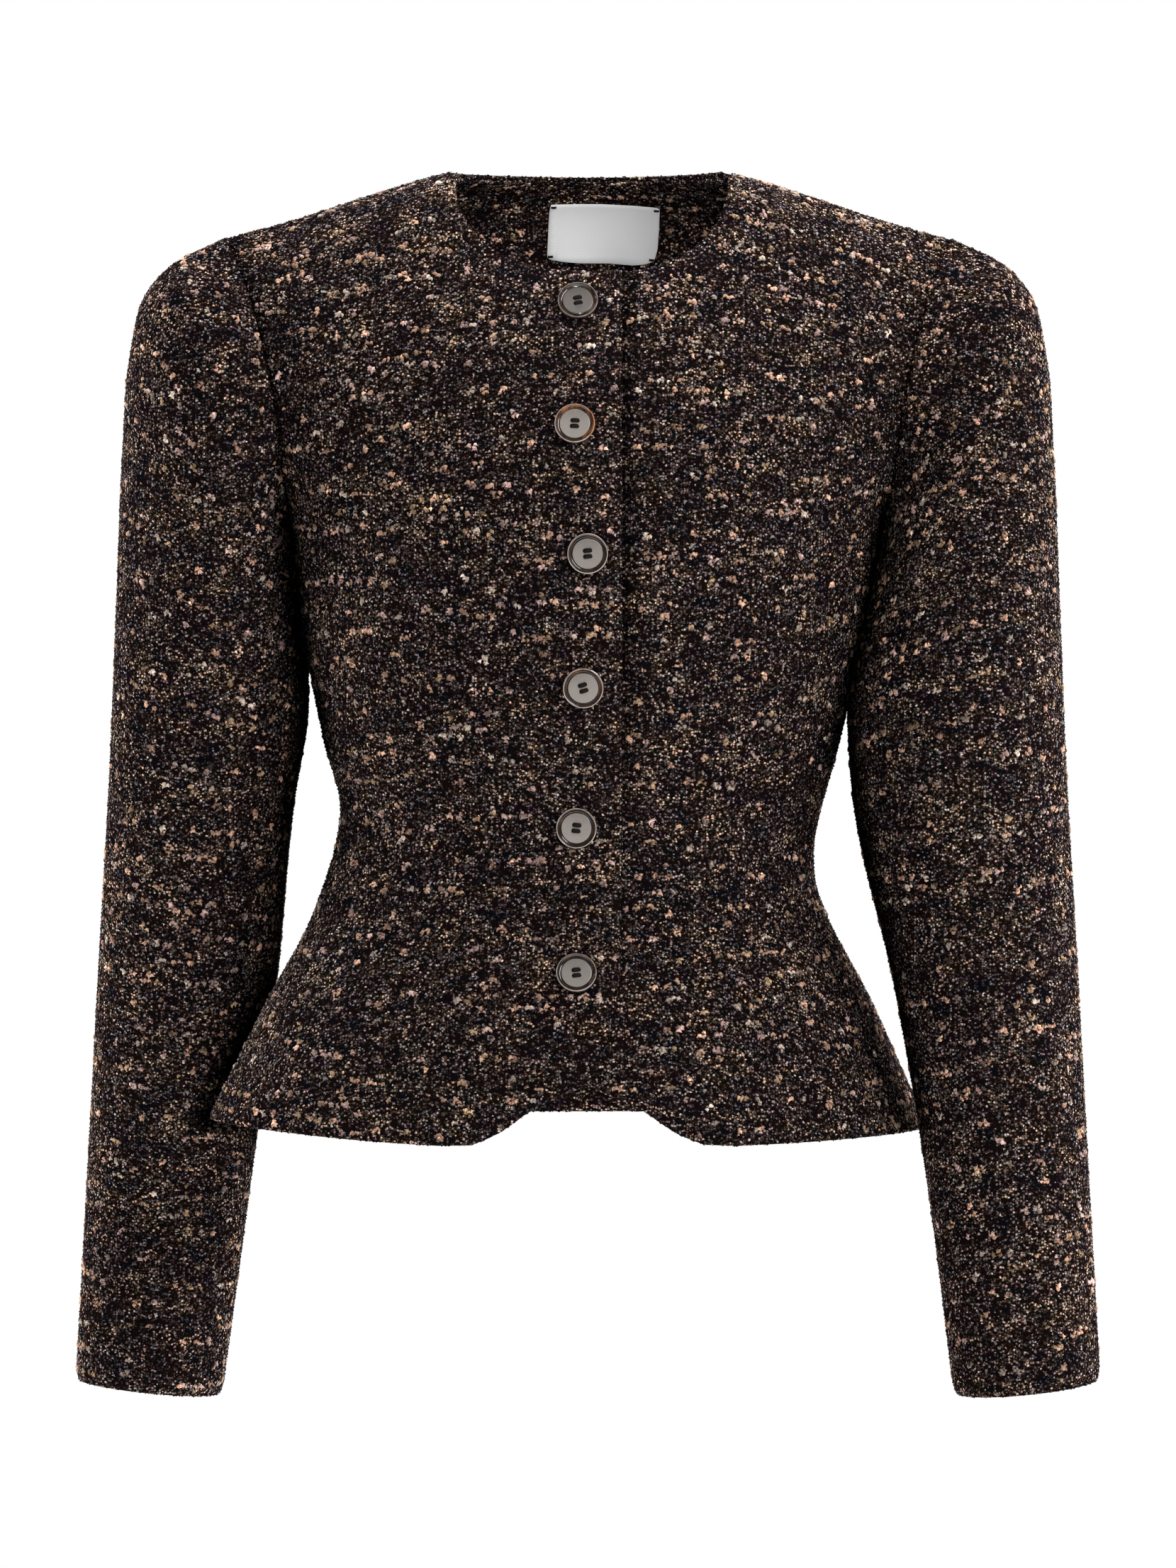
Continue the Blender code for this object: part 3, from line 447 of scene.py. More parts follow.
class Torso:
    """The form that the fronts and back lie on: from the front hem over the shoulder to the back hem.

    A place on it is (p, w): p from -1 at the right side edge to 1 at the left one, and w in
    millimetres along the middle, rising up the front and then down the back.
    """

    def __init__(self):
        levels = named(LEVEL_COLUMNS, LEVELS.values())
        front = [self.level(row, "front") for row in levels]
        back = [self.level(row, "back") for row in levels]
        self.rows = np.array(front + back[-2::-1])
        self.knots = 0.5 * (chord_knots(self.rows[:, 6:8]) + chord_knots(self.rows[:, 0:3]))
        count = len(LEVELS)
        self.front = {name: self.knots[i] for i, name in enumerate(LEVELS)}
        self.back = {name: self.knots[2 * count - 2 - i] for i, name in enumerate(LEVELS)}

    @staticmethod
    def level(row, face):
        """Right edge, left edge, middle y and z, and arriving direction of one level."""
        reach = -row["arm_front"] if face == "front" else row["arm_back"]
        right, left = (spot_seen(row["x_" + hand], row["z_" + hand], row["y_" + hand] + reach)
                       for hand in HANDS.values())
        return (*right, *left, row["y_" + face], row["z_" + face], row["turn"])

    def points(self, p, w):
        """Points of the form at the places (p, w)."""
        p = np.asarray(p, float)
        rows = smooth(self.knots, self.rows, w)
        left = (p > 0)[:, None]
        edge = np.where(left, rows[:, 3:6], rows[:, 0:3])
        middle = np.column_stack([0.5 * (rows[:, 0] + rows[:, 3]), rows[:, 6], rows[:, 7]])
        turn = np.radians(rows[:, 8])
        reach = edge - middle
        along = np.cos(turn)
        leave = np.column_stack([reach[:, 0] * (1 - SHORTER * along), np.zeros(len(p)), np.zeros(len(p))])
        arrive = np.column_stack([reach[:, 0] * along * STRAIGHT, reach[:, 1] * np.sin(turn),
                                  reach[:, 2] * along * STRAIGHT])
        a = middle + ROUND * leave
        b = edge - ROUND * arrive
        u = np.abs(p)[:, None]
        v = 1 - u
        return middle * v ** 3 + 3 * a * u * v * v + 3 * b * u * u * v + edge * u ** 3

    def normals(self, p, w, points=None):
        """Outward directions of the form, or of points laid on it, at the places (p, w)."""
        points = points or self.points
        p = np.asarray(p, float)
        w = np.asarray(w, float)
        across = points(np.clip(p + SMALL_P, -1, 1), w) - points(np.clip(p - SMALL_P, -1, 1), w)
        along = points(p, w + SMALL_W) - points(p, w - SMALL_W)
        return unit(np.cross(across, along))

    def find(self, targets, axes, low, high):
        """Places (p, w), with w between low and high, whose points have the wanted coordinates."""
        grid_p, grid_w = np.meshgrid(np.linspace(-1, 1, SEARCH), np.linspace(low, high, SEARCH))
        grid_p = grid_p.ravel()
        grid_w = grid_w.ravel()
        sample = self.points(grid_p, grid_w)[:, axes]
        targets = np.asarray(targets, float)
        nearest = [np.argmin(((sample - target) ** 2).sum(axis=1)) for target in targets]
        p = grid_p[nearest]
        w = grid_w[nearest]
        for _ in range(SEARCH_STEPS):
            found = self.points(p, w)[:, axes]
            by_p = (self.points(p + SMALL_P, w)[:, axes] - found) / SMALL_P
            by_w = (self.points(p, w + SMALL_W)[:, axes] - found) / SMALL_W
            miss = targets - found
            size = by_p[:, 0] * by_w[:, 1] - by_p[:, 1] * by_w[:, 0]
            size = np.where(np.abs(size) < SMALLEST, SMALLEST, size)
            p = np.clip(p + (miss[:, 0] * by_w[:, 1] - miss[:, 1] * by_w[:, 0]) / size, -1, 1)
            w = np.clip(w + (miss[:, 1] * by_p[:, 0] - miss[:, 0] * by_p[:, 1]) / size, low, high)
        return np.column_stack([p, w])

    def creases(self, p, w):
        """How far the creases move the cloth out at the places (p, w)."""
        spots = self.points(p, w)
        is_front = np.asarray(w) < self.front["shoulder"]
        out = np.zeros(len(spots))
        for face, on_face in (("front", is_front), ("back", ~is_front)):
            for row in named(CREASE_COLUMNS, TORSO_CREASES[face]):
                out += on_face * crease_depth(spots[:, 0] - row["place"], spots[:, 2] - row["z"], row)
        return out


TORSO = Torso()
FRONT_XZ = [0, 2]
SHOULDER_W = TORSO.front["shoulder"]


def flat(places):
    """Places (p, w) as a flat layout in millimetres."""
    return np.asarray(places) * (FLAT_WIDTH, 1.0)


def seam_p(side):
    """The p at which a panel stops short of its side seam or armhole."""
    return side * (1.0 - SEAM / FLAT_WIDTH)


def straight_run(start, end, spacing):
    """Places from start to just before end, evenly spread."""
    start = np.asarray(start, float)
    end = np.asarray(end, float)
    count = max(1, int(round(np.linalg.norm(flat([end - start])) / spacing)))
    return start + (end - start) * np.linspace(0, 1, count, endpoint=False)[:, None]


def side_run(side, low, high, spacing):
    """Places up or down a side seam and armhole, with a point on every level."""
    levels = TORSO.knots[(TORSO.knots > min(low, high) + 1) & (TORSO.knots < max(low, high) - 1)]
    stops = np.concatenate([[min(low, high)], levels, [max(low, high)]])
    if low > high:
        stops = stops[::-1]
    return np.concatenate([straight_run((seam_p(side), a), (seam_p(side), b), spacing)
                           for a, b in zip(stops[:-1], stops[1:])])


def inside(points, outline):
    """Which points lie inside a closed outline, and how far each is from it."""
    start = outline
    end = np.roll(outline, -1, axis=0)
    x = points[:, 0][:, None]
    y = points[:, 1][:, None]
    crosses = (start[:, 1] > y) != (end[:, 1] > y)
    rise = np.where(end[:, 1] == start[:, 1], TINY, end[:, 1] - start[:, 1])
    hit = start[:, 0] + (y - start[:, 1]) * (end[:, 0] - start[:, 0]) / rise
    enclosed = (crosses & (x < hit)).sum(axis=1) % 2 == 1
    run = end - start
    length = np.maximum((run ** 2).sum(axis=1), TINY)
    share = np.clip(((x - start[:, 0]) * run[:, 0] + (y - start[:, 1]) * run[:, 1]) / length, 0, 1)
    away = np.hypot(x - start[:, 0] - share * run[:, 0], y - start[:, 1] - share * run[:, 1])
    return enclosed, away.min(axis=1)


def cut_panel(outline, spacing):
    """Fill a flat outline of places (p, w): all places and their triangles."""
    edge = flat(outline)
    low = edge.min(axis=0)
    high = edge.max(axis=0)
    rows = np.arange(low[1], high[1], spacing * ROW_SHARE)
    columns = np.arange(low[0], high[0], spacing)
    grid = np.array([(x + 0.5 * spacing * (k % 2), y) for k, y in enumerate(rows) for x in columns])
    clear, away = inside(grid, edge)
    spots = np.concatenate([edge, grid[clear & (away > EDGE_CLEAR * spacing)]])
    count = len(edge)
    rims = [(i, (i + 1) % count) for i in range(count)]
    cut = delaunay_2d_cdt([Vector(spot) for spot in spots], rims, [], CUT_INSIDE, CUT_JOIN)
    places = np.array([tuple(point) for point in cut[0]]) / (FLAT_WIDTH, 1.0)
    return places, np.array([tuple(face) for face in cut[2]])


def neck_front():
    """Front neckline as seen on the form, from the right neck point round to the left one."""
    angle = np.linspace(-0.5 * math.pi, 0.5 * math.pi, NECK_FRONT_POINTS)
    power = 2.0 / NECK_SQUARE
    x = NECK_CENTRE + NECK_HALF * np.sign(np.sin(angle)) * np.abs(np.sin(angle)) ** power
    z = NECK_POINT_Z - (NECK_POINT_Z - NECK_FRONT_Z) * np.abs(np.cos(angle)) ** power
    return np.column_stack([x, z])


def front_outline(side, spacing):
    """Places round one front. side is -1 for the wearer's right, on top, and 1 for the left."""
    hem = TORSO.front["hem"]
    top = SHOULDER_W - SEAM
    edge = spread([(CLOSURE_X - side * across, z) for across, z in FRONT_EDGE], spacing)
    hem_z = LEVELS["hem"][LEVEL_COLUMNS.index("z_front")]
    corner = TORSO.find([(CLOSURE_X - side * CUTAWAY_END, hem_z)], FRONT_XZ, hem, TORSO.front["peplum"])[0]
    corner[1] = hem
    front_edge = TORSO.find(edge, FRONT_XZ, hem, TORSO.front["yoke"])[::-1]
    neck = neck_front()[::side]
    neck = neck[side * (neck[:, 0] - CLOSURE_X) + OVERLAP_HALF > NECK_CLEAR]
    neck = TORSO.find(neck, FRONT_XZ, TORSO.front["armhole_mid"], SHOULDER_W)
    neck[:, 1] = np.minimum(neck[:, 1], top)
    outline = np.concatenate([
        straight_run((seam_p(side), hem), corner, spacing),
        [corner],
        front_edge,
        neck[:-1],
        straight_run((neck[-1, 0], top), (seam_p(side), top), spacing),
        side_run(side, top, hem, spacing),
    ])
    return outline[::-1] if side < 0 else outline


def neck_back():
    """Places of the back neckline from left to right, a nearly level line as seen from in front."""
    across = np.sin(np.linspace(0.5 * math.pi, -0.5 * math.pi, NECK_BACK_POINTS))
    x = NECK_CENTRE + NECK_HALF * across
    z = NECK_BACK_Z + (NECK_POINT_Z - NECK_BACK_Z) * across ** 4
    neck = TORSO.find(np.column_stack([x, z]), FRONT_XZ, SHOULDER_W, TORSO.back["armhole_high"])
    neck[:, 1] = np.maximum(neck[:, 1], SHOULDER_W + SEAM)
    return neck


def back_outline(spacing):
    """Places round the back, which is cut in one."""
    hem = TORSO.back["hem"]
    top = SHOULDER_W + SEAM
    neck = neck_back()
    return np.concatenate([
        straight_run((seam_p(-1), hem), (seam_p(1), hem), spacing),
        side_run(1, hem, top, spacing),
        straight_run((seam_p(1), top), (neck[0, 0], top), spacing),
        neck[:-1],
        straight_run((neck[-1, 0], top), (seam_p(-1), top), spacing),
        side_run(-1, top, hem, spacing),
    ])[::-1]


def facing_outline(spacing):
    """Places round the facing inside the back neck."""
    top = SHOULDER_W + SEAM
    neck = neck_back()
    angle = np.linspace(-0.5 * math.pi, 0.5 * math.pi, FACING_POINTS)
    lower = np.column_stack([FACING_SHOULDER * np.sin(angle),
                             top + FACING_DEPTH * np.abs(np.cos(angle)) ** FACING_POWER])
    return np.concatenate([
        neck[:-1],
        straight_run((neck[-1, 0], top), lower[0], spacing),
        lower[:-1],
        straight_run(lower[-1], (neck[0, 0], top), spacing),
    ])[::-1]


def under_front(p, w):
    """How far the left front steps in, to lie under the right one, as a share of its full step."""
    x = TORSO.points(p, w)[:, 0]
    start, end = UNDER_RAMP
    return -ease(np.clip((end - x) / (end - start), 0, 1))


class TorsoCloth:
    """Cloth laid on the torso's form: its outer face with creases, seam dips and a step in or out."""

    def __init__(self, cloth, crease, lay=0.0, lift=None):
        self.cloth = cloth
        self.crease = crease
        self.lay = lay
        self.lift = lift

    def out(self, p, w):
        """Distance of the cloth's outer face from the form."""
        seam = np.minimum((1 - np.abs(p)) * FLAT_WIDTH, np.abs(w - SHOULDER_W))
        out = self.lay + self.crease * (TORSO.creases(p, w) - SEAM_DIP * np.exp(-(seam / SEAM_REACH) ** 2))
        return out + self.lift(p, w) if self.lift else out

    def points(self, p, w):
        """Points on the outer face."""
        return TORSO.points(p, w) + TORSO.normals(p, w) * self.out(p, w)[:, None]

    def both_faces(self, p, w):
        """Points on the outer and on the inner face."""
        outer = self.points(p, w)
        return outer, outer - TORSO.normals(p, w) * self.cloth

    def normals(self, p, w):
        """Outward directions of the outer face, creases included."""
        return TORSO.normals(p, w, self.points)


def is_free(places):
    """Which places on a panel's outline lie on a free edge and not on a seam."""
    p, w = places.T
    return (np.abs(p) < 1 - 2 * SEAM / FLAT_WIDTH) & (np.abs(w - SHOULDER_W) > 2 * SEAM)


def rim_edges(faces):
    """Edges that only one face has, in that face's direction."""
    sides = {(face[k - 1], face[k]) for face in faces.tolist() for k in range(len(face))}
    return sorted((a, b) for a, b in sides if (b, a) not in sides)


def closed_wall(outer, inner, faces, bulge):
    """A cloth wall with a rim rounded by the bulge of each point.

    Gives its points and faces, the rim's points, and where the rim lies and runs there.
    """
    count = len(outer)
    rim = rim_edges(faces)
    after = dict(rim)
    before = {b: a for a, b in rim}
    starts = np.array([a for a, _ in rim])
    along = unit(outer[[after[a] for a in starts]] - outer[[before[a] for a in starts]])
    through = unit(outer[starts] - inner[starts])
    beside = np.cross(along, through)
    middle = 0.5 * (outer[starts] + inner[starts]) + beside * bulge[starts][:, None]
    order = {a: i for i, a in enumerate(starts)}
    ahead = middle[[order[after[a]] for a in starts]] - middle
    ring = {a: 2 * count + i for a, i in order.items()}
    walls = [tuple(face) for face in faces.tolist()]
    walls += [tuple(count + i for i in reversed(face)) for face in faces.tolist()]
    for a, b in rim:
        walls.append((b, a, ring[a], ring[b]))
        walls.append((ring[b], ring[a], count + a, count + b))
    return np.concatenate([outer, inner, middle]), walls, starts, (middle, beside, through, along, ahead)


def armhole(side, angle):
    """Points of the armhole seam and outward directions there.

    The angles start at the shoulder and run down the front and up the back.
    """
    turns = []
    for start, end in ((SHOULDER_W, TORSO.front["bust"]), (TORSO.back["bust"], SHOULDER_W)):
        w = np.linspace(start, end, FINE)
        length = chord_knots(TORSO.points(np.full(FINE, side), w))
        turns.append((length / length[-1], w))
    share = angle / math.pi
    w = np.where(share < 1, np.interp(share, *turns[0]), np.interp(share - 1, *turns[1]))
    places = np.full(len(w), float(side)), w
    outward = TORSO.normals(*places)
    return TORSO.points(*places) + outward * SLEEVE_STEP, outward


def sleeve_rings(side):
    """Main rings of a sleeve, each a loop of points: the seam, the head's rise and the table's rings."""
    angle = np.linspace(0, 2 * math.pi, SLEEVE_AROUND, endpoint=False)
    seam, outward = armhole(side, angle)
    up = (0.5 + 0.5 * np.cos(angle))[:, None]
    leave = up * HEAD_LEAVES_TOP + (1 - up) * HEAD_LEAVES_LOW
    leave = unit(leave * (side, 1, 1) + np.sin(angle)[:, None] * HEAD_LEAVES_SIDE)
    rise = HEAD_RISE * (up + (1 - up) * HEAD_RISE_LOW)
    edge = seam + leave * 2 * SEAM
    rings = [seam - leave * SEAM_LAP - outward * (SEAM_TURN + SEAM_DIP), edge - outward * SEAM_TURN, edge,
             seam + leave * rise]
    hand = HANDS[side]
    for row in named(RING_COLUMNS, RINGS.values()):
        y = row["y_" + hand]
        outer = spot_seen(side * row["x_outer"], row["z_outer"], y)
        inner = spot_seen(side * row["x_inner_" + hand], row["z_inner"], y)
        front = np.array((0.0, -row["half_depth"], 0.0))
        middle = 0.5 * (outer + inner)
        reach = 0.5 * (outer - inner)
        rings.append(middle + np.cos(angle)[:, None] * reach + np.sin(angle)[:, None] * front)
    return np.array(rings)


def girths(net):
    """Lengths round the rows of a sleeve's net."""
    return np.linalg.norm(np.roll(net, -1, axis=1) - net, axis=2).sum(axis=1)


class SleeveCloth:
    """A set-in sleeve as an even net of points, with creases. Rows run from the armhole to the cuff."""

    def __init__(self, side, spacing, cloth, crease):
        self.side = side
        self.cloth = cloth
        rings = sleeve_rings(side)
        strands = [chord_knots(rings[:, k]) for k in range(SLEEVE_AROUND)]
        longest = max(strands, key=lambda knots: knots[-1])
        seam = longest[SEAM_ROWS]
        count = int(round((longest[-1] - seam) / spacing))
        even = np.linspace(seam + SEAM_ROW, longest[-1], count)
        self.stops = np.concatenate([longest[:SEAM_ROWS + 1], even[:-1], [even[-1] - CUFF_ROW, even[-1]]])
        net = [smooth(knots, rings[:, k], np.interp(self.stops, longest, knots))
               for k, knots in enumerate(strands)]
        net = np.array(net).transpose(1, 0, 2)
        plain = self.directions(net)
        plain[SEAM_ROWS] = plain[SEAM_ROWS + 1]
        self.outer = net + plain * (crease * self.creases(net))[:, :, None]
        self.outward = self.directions(self.outer)
        self.inner = self.outer - plain * cloth

    def directions(self, net):
        """Outward directions of a net of points."""
        around = np.roll(net, -1, axis=1) - np.roll(net, 1, axis=1)
        return unit(self.side * np.cross(around, np.gradient(net, axis=0)))

    def creases(self, net):
        """How far the creases move the net's points out."""
        turn = np.arange(SLEEVE_AROUND) * 360.0 / SLEEVE_AROUND
        girth = girths(net)[:, None]
        past = self.stops - self.stops[SEAM_ROWS]
        out = -SEAM_DIP * (past >= 0) * np.exp(-(past / SEAM_REACH) ** 2)
        out -= CUFF_TURN * np.exp(-((self.stops[-1] - self.stops) / CUFF_ROW) ** 2)
        out = out[:, None] * np.ones(SLEEVE_AROUND)
        for row in named(CREASE_COLUMNS, SLEEVE_CREASES[HANDS[self.side]]):
            off = (turn - row["place"] + 180.0) % 360.0 - 180.0
            out = out + crease_depth(off[None, :] / 360.0 * girth, net[:, :, 2] - row["z"], row)
        return out

    def faces(self):
        """Four-sided faces of the net, outward."""
        row, k = np.indices((len(self.stops) - 1, SLEEVE_AROUND))
        after = (k + 1) % SLEEVE_AROUND
        high = row * SLEEVE_AROUND
        low = high + SLEEVE_AROUND
        made = np.stack([high + k, low + k, low + after, high + after], axis=-1).reshape(-1, 4)
        return made if self.side < 0 else made[:, ::-1]

    def at(self, around, along):
        """Points, outward directions and directions round the sleeve, at places counted in the net."""
        j = np.clip(along.astype(int), 0, len(self.stops) - 2)
        k = around.astype(int) % SLEEVE_AROUND
        after = (k + 1) % SLEEVE_AROUND
        s = (along - j)[:, None]
        t = (around - np.floor(around))[:, None]

        def between(net):
            top = net[j, k] * (1 - t) + net[j, after] * t
            low = net[j + 1, k] * (1 - t) + net[j + 1, after] * t
            return top * (1 - s) + low * s

        weft = unit(self.outer[j, after] - self.outer[j, k])
        return between(self.outer), unit(between(self.outward)), weft


def patchy(x, y, size_x, size_y, seed):
    """Soft patches from 0 to 1 over a plane, about as wide and high as the given sizes."""
    lattice = np.random.default_rng(seed).random((PATCH_LATTICE, PATCH_LATTICE))
    u = x / size_x
    v = y / size_y
    i = np.floor(u).astype(int)
    j = np.floor(v).astype(int)
    s = ease(u - i)
    t = ease(v - j)

    def row(k):
        here = lattice[i % PATCH_LATTICE, (j + k) % PATCH_LATTICE]
        return here * (1 - s) + lattice[(i + 1) % PATCH_LATTICE, (j + k) % PATCH_LATTICE] * s

    return row(0) * (1 - t) + row(1) * t


def mesh_object(name, points, face_sizes, face_points):
    """An object from points in millimetres and faces given as flat arrays, shaded smooth."""
    mesh = bpy.data.meshes.new(name)
    mesh.vertices.add(len(points))
    mesh.vertices.foreach_set("co", (np.asarray(points) * MM).astype(np.float32).ravel())
    mesh.loops.add(len(face_points))
    mesh.loops.foreach_set("vertex_index", np.asarray(face_points, np.int32))
    mesh.polygons.add(len(face_sizes))
    starts = np.concatenate([[0], np.cumsum(face_sizes)[:-1]])
    mesh.polygons.foreach_set("loop_start", starts.astype(np.int32))
    mesh.update(calc_edges=True)
    mesh.validate()
    mesh.shade_smooth()
    made = bpy.data.objects.new(name, mesh)
    bpy.context.scene.collection.objects.link(made)
    return made


def wall_object(name, points, walls):
    """An object from points and a list of faces."""
    sizes = [len(face) for face in walls]
    return mesh_object(name, points, sizes, [i for face in walls for i in face])


def paint(piece, name, colours):
    """Keep a colour or a grey for each point of a piece."""
    rgba = np.ones((len(colours), 4), np.float32)
    rgba[:, :3] = colours
    piece.data.attributes.new(name, "FLOAT_COLOR", "POINT").data.foreach_set("color", rgba.ravel())


def yarn_object(name, shape, spots, outward, along, sizes, colours):
    """Many loops or curls in one mesh: places, directions, (length, width, height) and colours."""
    template, faces = shape
    count = len(spots)
    across = np.cross(outward, along)
    local = template[None, :, :] * sizes[:, None, :]
    points = (spots[:, None, :] + local[:, :, 0:1] * along[:, None, :] + local[:, :, 1:2] * across[:, None, :]
              + local[:, :, 2:3] * outward[:, None, :])
    corners = np.array([i for face in faces for i in face])
    starts = np.arange(count) * len(template)
    face_points = (starts[:, None] + corners[None, :]).ravel()
    face_sizes = np.tile([len(face) for face in faces], count)
    made = mesh_object(name, points.reshape(-1, 3), face_sizes, face_points)
    paint(made, YARN, np.repeat(colours, len(template), axis=0))
    cells = int(math.ceil(math.sqrt(count)))
    cell = np.column_stack([np.arange(count) % cells, np.arange(count) // cells])
    inner = BAKE_INSET + (1 - 2 * BAKE_INSET) * (template[corners][:, :2] + 0.5)
    spread_out = (cell[:, None, :] + np.clip(inner, BAKE_CLEAR, 1 - BAKE_CLEAR)[None, :, :]) / cells
    made.data.uv_layers.new(name=BAKE_MAP).uv.foreach_set("vector", spread_out.astype(np.float32).ravel())
    return made


class TorsoField:
    """A panel's outer or inner face as a field for yarn: rows of places, and directions at them."""

    def __init__(self, cloth, outline, face):
        self.cloth = cloth
        self.outline = outline
        self.face = face

    def rows(self, row_pitch, pitch, rng):
        """Uneven rows of places over the panel, each with its place along the weft and its row."""
        low = self.outline.min(axis=0)
        high = self.outline.max(axis=0)
        levels = np.arange(low[1] + 0.5 * row_pitch, high[1], row_pitch)
        steps = np.linspace(low[0], high[0], ROW_STEPS)
        grid_p, grid_w = np.meshgrid(steps, levels)
        line = TORSO.points(grid_p.ravel(), grid_w.ravel()).reshape(len(levels), ROW_STEPS, 3)
        places = []
        for w, points in zip(levels, line):
            length = chord_knots(points)
            count = int(length[-1] / pitch)
            at = (np.arange(count) + 0.5 + (rng.random(count) - 0.5) * ROW_JITTER) * pitch
            rise = (rng.random(count) - 0.5) * ROW_JITTER * row_pitch
            places.append(np.column_stack([np.interp(at, length, steps), w + rise]))
        return self.keep(np.concatenate(places))

    def keep(self, places):
        """The places that lie on the panel."""
        clear, away = inside(flat(places), flat(self.outline))
        return places[clear & (away > YARN_CLEAR)]

    def moved(self, places, along):
        """Places moved along the weft by distances in millimetres."""
        p, w = places.T
        speed = np.linalg.norm(TORSO.points(p + SMALL_P, w) - TORSO.points(p, w), axis=1) / SMALL_P
        return self.keep(np.column_stack([p + along / speed, w]))

    def at(self, places):
        """Points, outward directions and weft directions."""
        p, w = places.T
        outer, inner = self.cloth.both_faces(p, w)
        weft = unit(TORSO.points(p + SMALL_P, w) - TORSO.points(p - SMALL_P, w))
        outward = self.cloth.normals(p, w) * self.face
        weft = unit(weft - outward * (weft * outward).sum(axis=1)[:, None])
        return (outer if self.face > 0 else inner), outward, weft

    def plan(self, places):
        """Places as distances along the weft and over the rows, for patches of colour."""
        p, w = places.T
        return TORSO.points(p, w)[:, 0], w


class SleeveField:
    """A sleeve's outer face as a field for yarn."""

    def __init__(self, cloth):
        self.cloth = cloth
        self.girth = girths(cloth.outer)
        self.along = chord_knots(cloth.outer.mean(axis=1))
        self.along -= self.along[SEAM_ROWS]
        self.net_rows = np.arange(len(self.along))

    def rows(self, row_pitch, pitch, rng):
        """Uneven rows of places over the sleeve, counted round it and in millimetres along it."""
        places = []
        for level in np.arange(0.5 * row_pitch, self.along[-1], row_pitch):
            count = int(np.interp(level, self.along, self.girth) / pitch)
            around = (np.arange(count) + (rng.random(count) - 0.5) * ROW_JITTER) / count * SLEEVE_AROUND
            rise = (rng.random(count) - 0.5) * ROW_JITTER * row_pitch
            places.append(np.column_stack([around % SLEEVE_AROUND, level + rise]))
        places = np.concatenate(places)
        places[:, 1] = np.clip(places[:, 1], YARN_CLEAR, self.along[-1] - YARN_CLEAR)
        return places

    def moved(self, places, along):
        """Places moved round the sleeve by distances in millimetres."""
        girth = np.interp(places[:, 1], self.along, self.girth)
        return np.column_stack([(places[:, 0] + along / girth * SLEEVE_AROUND) % SLEEVE_AROUND, places[:, 1]])

    def at(self, places):
        """Points, outward directions and weft directions."""
        return self.cloth.at(places[:, 0], np.interp(places[:, 1], self.along, self.net_rows))

    def plan(self, places):
        """Places as distances round and along the sleeve, for patches of colour."""
        return places[:, 0] / SLEEVE_AROUND * self.girth.mean(), places[:, 1]


def turned(weft, outward, angle):
    """Weft directions turned in the cloth by an angle."""
    warp = np.cross(outward, weft)
    return weft * np.cos(angle)[:, None] + warp * np.sin(angle)[:, None]


def swing(share, shape, rng):
    """Random numbers up to a share under or over 1."""
    return 1 - share + 2 * share * rng.random(shape)


def varied(size, count, rng):
    """Sizes of many loops, each a little different."""
    return size * swing(SIZE_SWING, (count, 1), rng) * swing(SHAPE_SWING, (count, 3), rng)


def pick(colours, count, rng):
    """One of some colours for each loop, lighter or darker by chance."""
    chosen = np.array([tuple(colour) for colour in colours])[rng.integers(0, len(colours), count)]
    return chosen * np.exp(rng.normal(0, YARN_SWING, count))[:, None]


def patch_tone(x, y, seed):
    """How pale the weave is around each place, about 0 on average."""
    large, small = (patchy(x, y, *size, seed + k) for k, size in enumerate(PATCH_SIZES))
    return TONE_SWING * (LARGE_SHARE * large + (1 - LARGE_SHARE) * small - 0.5)


def loop_colours(x, y, seed, rng, yarn):
    """Colours of the fine loops: dark, brown-grey or pale, in patches that follow the weft."""
    count = len(x)
    patch = patch_tone(x, y, seed)
    tone = rng.random(count) + patch
    dark = pick((yarn.violet_black, yarn.brown_black, yarn.teal_black), count, rng)
    middle = pick((yarn.loop_brown, yarn.loop_grey), count, rng)
    pale = pick((yarn.loop_cream, yarn.loop_grey_pale), count, rng)
    colours = np.where((tone > LOOP_TONES[0])[:, None], middle, dark)
    colours = np.where((tone > LOOP_TONES[1])[:, None], pale, colours)
    return colours * (1 + patch[:, None] * PATCH_HUE)


def slub_places(field, spacing, rng, seed):
    """Places of the slubs, thicker in pale patches, some of them in short runs along the weft."""
    places = field.rows(spacing, spacing, rng)
    x, y = field.plan(places)
    chance = SLUB_CHANCE + SLUB_PATCHES * patch_tone(x, y, seed)
    places = places[rng.random(len(places)) < chance]
    runs = places[rng.random(len(places)) < RUN_SHARE]
    more = [places]
    for step in (SLUB_RUN, 2 * SLUB_RUN):
        more.append(field.moved(runs, step * swing(SHAPE_SWING, len(runs), rng)))
        runs = runs[rng.random(len(runs)) < RUN_ON]
    return np.concatenate(more)


def edge_spots(rim, free, wall, rng):
    """Places, outward directions and edge directions of loops round the free edges of a cloth wall."""
    middle, beside, through, along, ahead = rim
    length = np.linalg.norm(ahead, axis=1)
    counts = np.maximum(1, np.round(EDGE_ROWS * length / EDGE_PITCH)).astype(int) * free
    i = np.repeat(np.arange(len(middle)), counts)
    turn = (rng.random(len(i)) - 0.5) * math.pi
    outward = np.cos(turn)[:, None] * beside[i] + np.sin(turn)[:, None] * through[i]
    shift = rng.random(len(i))[:, None] * ahead[i]
    inward = (np.cos(turn) - 1)[:, None] * beside[i] * RIM_BULGE * wall
    spots = middle[i] + shift + inward + np.sin(turn)[:, None] * through[i] * 0.5 * wall
    return spots, outward, along[i]


